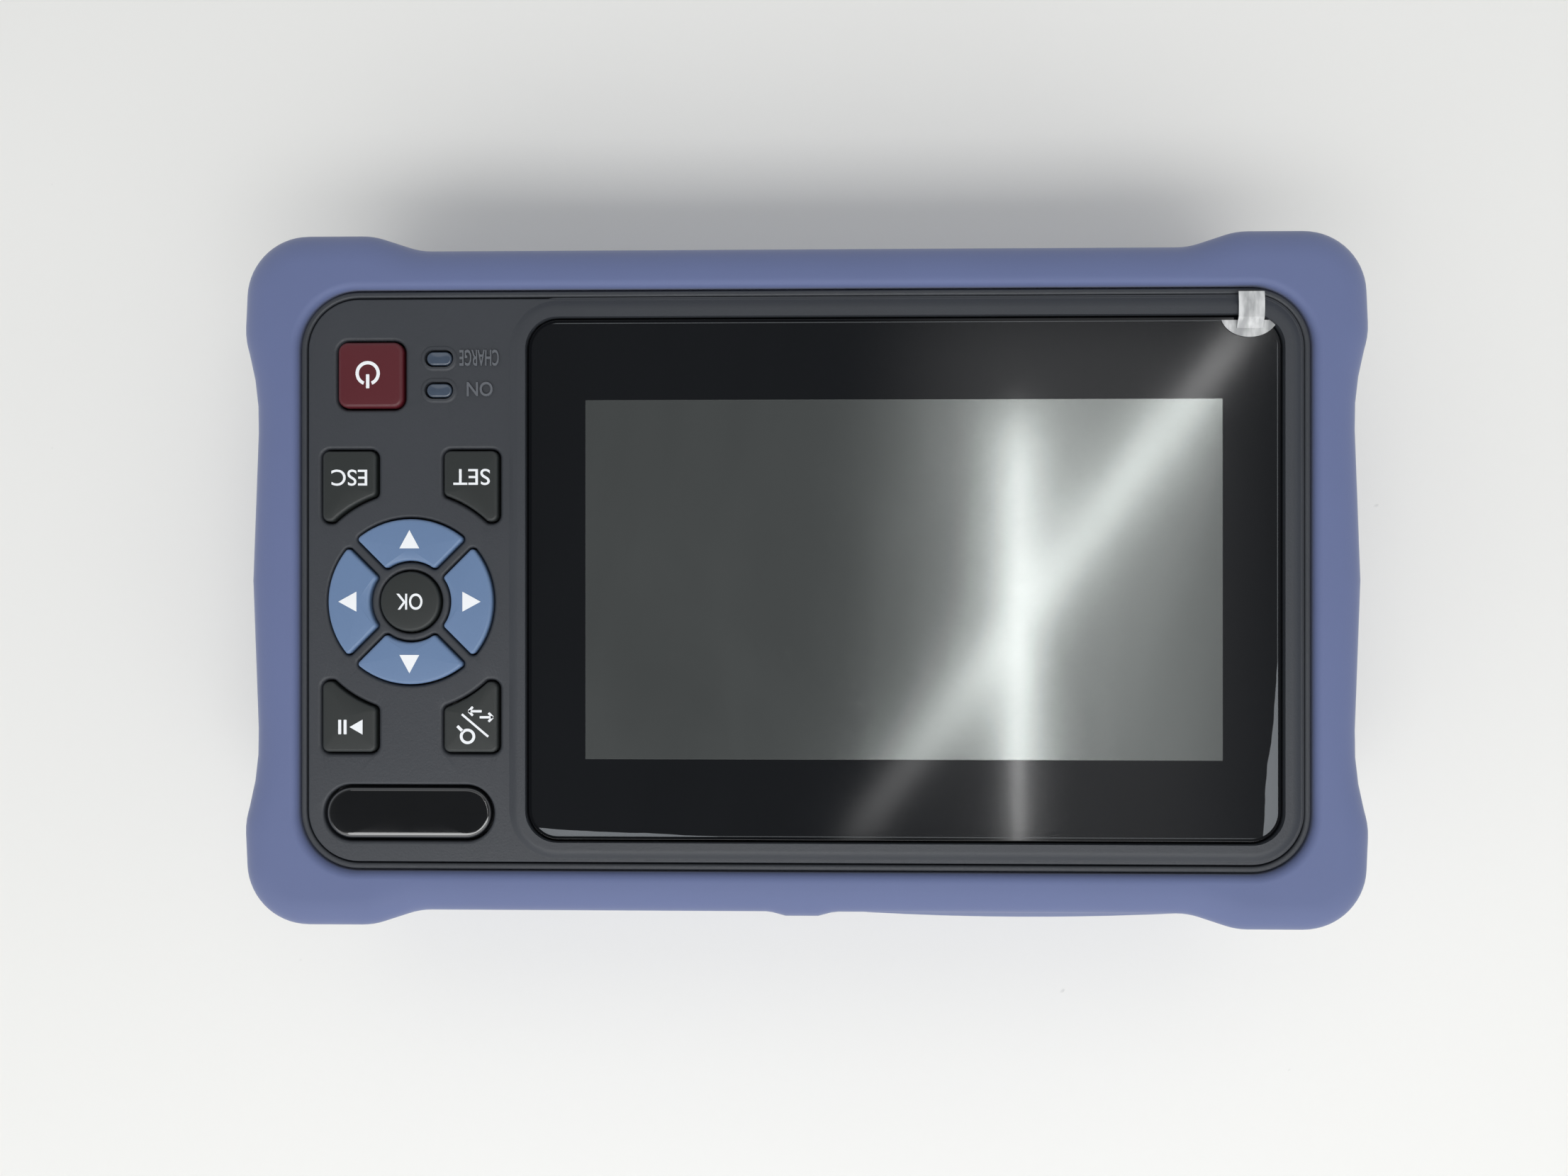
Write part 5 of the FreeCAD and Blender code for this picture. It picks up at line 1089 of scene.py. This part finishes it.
OWN_BODIES = ("port_flap", "data_port_cover", "stand")
for finish, slot, widths in (
        (housing_inside, "housing_plastic", {"rear_housing": 0.25}),
        (boot_silicone, "boot_silicone", {"port_flap": 0.5, "data_port_cover": 0.4}),
        (housing_plastic, "housing_plastic", {"stand": 0.4}),
        (black_plastic, "black_plastic", {"port_bay": 0.2}),
        (blue_adapter_plastic, "blue_adapter_plastic", {"otdr_adapter": 0.15}),
        (nickel_metal, "nickel_metal", {
            "power_meter_adapter": 0.1, "fault_locator_adapter": 0.1,
            "data_socket": 0.0, "charge_socket": 0.0}),
        (steel_pin, "steel_pin", {"flap_pin": 0.0, "data_cover_pin": 0.0, "stand_pin": 0.0})):
    for node, width in widths.items():
        softened(node, finish, node if node in OWN_BODIES else "case", width)

# %% [markdown]
# ## Pieces inside the case
# What is inside is never seen from outside, but every node still has a finish of its own.

# %% Finishes for the hidden nodes
circuit_board = plain("circuit_board", paint(24, 84, 52), 0.45, 0.2, 400.0)
membrane_silicone = plain("membrane_silicone", paint(188, 186, 180), 0.6, 0.08)
foam_tape = plain("foam_tape", paint(20, 20, 21), 0.9, 0.3, 2500.0)
display_frame = plain("display_frame", paint(60, 62, 64), 0.35)
tinned_steel = plain("tinned_steel", paint(178, 180, 180), 0.32, 0.1, 600.0, Metallic=1.0)
cast_aluminium = plain("cast_aluminium", paint(150, 152, 154), 0.5, 0.15, 900.0, Metallic=1.0)
battery_wrap = plain("battery_wrap", paint(30, 74, 140), 0.3, 0.1)
HIDDEN = {"glass_gasket": foam_tape, "lcd_module": display_frame,
          "keypad_board": circuit_board, "keypad_membrane": membrane_silicone,
          "main_board": circuit_board, "board_shield": tinned_steel, "buzzer": black_plastic,
          "optical_module": cast_aluminium, "battery_pack": battery_wrap,
          "case_screws": steel_pin, "board_screws": steel_pin, "keypad_screws": steel_pin}
for node, finish in HIDDEN.items():
    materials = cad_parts[node].data.materials
    materials.clear()
    materials.append(finish)
print("hidden nodes finished:", len(HIDDEN))

# %% [markdown]
# ## Floor, light and camera
# The instrument lies on its back on a pale table, seen from straight above with its upper
# edge towards the viewer. A broad soft light stands on that side, a weak one opposite thins
# its shadow, and a sky that is dim overhead keeps the glass dark. Two narrow panels above
# the left of the screen put the bright streaks in the glass, and a wide faint one the glow
# round them. They fade towards their ends by a graph on the light's own coordinates.

# %% Floor
def floor_finish():
    finish = Finish("table_top")
    drift = finish.noise(6.0, 2.0)
    speck = finish.noise(260.0, 1.0).ramp(0.80, 0.83)
    pale = finish.mix(drift, paint(232, 231, 227), paint(238, 237, 233))
    finish.set("Base Color", finish.mix(speck * 0.25, pale, paint(150, 150, 148)))
    finish.set("Roughness", drift * 0.1 + 0.5)
    return finish.material


REACH, FLOOR_LEVEL = 3.0, -0.0002
floor_mesh = bpy.data.meshes.new("floor")
floor_mesh.from_pydata([(x * REACH, y * REACH, FLOOR_LEVEL) for x, y in
                        ((-1, -1), (1, -1), (1, 1), (-1, 1))], [], [(0, 1, 2, 3)])
floor_mesh.materials.append(floor_finish())
floor = put("floor", floor_mesh)

# %% Lights
class Glow(Finish):
    """The graph of a light or of the sky, in the place of a material's graph."""

    def __init__(self, owner, shader, kind, output):
        owner.use_nodes = True
        self.tree = owner.node_tree
        self.shader = self.tree.nodes[shader]
        self.place = self.node(kind)[output]

    def split(self):
        return self.node("ShaderNodeSeparateXYZ", None, {0: self.place})


def soften(light, edge, slope):
    """Fade a panel towards its edges, and dim it from end to end by the slope."""
    glow = Glow(light, "Emission", "ShaderNodeNewGeometry", "Parametric")
    split = glow.split()
    fades = [(split[axis].lesser(1.0 - split[axis])).ramp(0.0, edge[axis]) for axis in (0, 1)]
    glow.set("Strength", fades[0] * fades[1] * (split[0] * slope[0] + 1.0)
             * (split[1] * slope[1] + 1.0))


def panel(name, place, length, width, power, tilt=(0.0, 0.0, 0.0), edge=None,
          slope=(0.0, 0.0)):
    """A rectangular light that faces down, then turned; metres, watts and degrees."""
    light = bpy.data.lights.new(name, "AREA")
    light.shape = "RECTANGLE"
    light.size, light.size_y = length, width
    light.energy = power
    lamp = put(name, light)
    lamp.location = place
    lamp.rotation_euler = [math.radians(angle) for angle in tilt]
    if edge:
        soften(light, edge, slope)


panel("main_light", (0.0, 0.85, 0.95), 2.2, 0.9, 9.5, (-40, 0, 0))
panel("fill_light", (0.0, -0.42, 0.70), 0.8, 0.3, 0.6, (30, 0, 0))
panel("high_light", (0.0, 0.33, 0.62), 0.7, 0.16, 1.5, (-28, 0, 0))
panel("upright_strip", (-0.126, 0.028, 0.54), 0.014, 0.30, 0.18, edge=(0.5, 0.15))
panel("slanted_strip", (-0.144, -0.002, 0.54), 0.42, 0.029, 0.27, (0, 0, 52.6), (0.1, 0.5),
      (-0.65, 0.0))
panel("soft_glow", (-0.165, 0.03, 0.56), 0.29, 0.46, 0.33, edge=(0.4, 0.15),
      slope=(0.3, -0.7))
world = bpy.data.worlds.new("room")
bpy.context.scene.world = world
sky = Glow(world, "Background", "ShaderNodeTexCoord", "Generated")
sky.shader.inputs["Color"].default_value = (0.93, 0.96, 1.0, 1.0)
sky.set("Strength", sky.split()["Z"].ramp(0.35, 0.92, 0.86, 0.11))
print("lights", [lamp.name for lamp in bpy.data.lights])

# %% Camera
view = bpy.data.cameras.new("view")
view.lens, view.sensor_width = 26.0, 36.0
view.clip_start = 0.01
camera = put("view", view)
eye, aim = Vector((-0.0005, 0.0012, 0.2105)), Vector((0.0027, 0.00115, 0.0392))
back = (eye - aim).normalized()
side = Vector((0.0, -1.0, 0.0)).cross(back).normalized()
top = back.cross(side)
camera.location = eye
camera.rotation_mode = "QUATERNION"
camera.rotation_quaternion = Matrix((side, top, back)).transposed().to_quaternion()
bpy.context.scene.camera = camera
bpy.context.scene.view_settings.view_transform = "Standard"
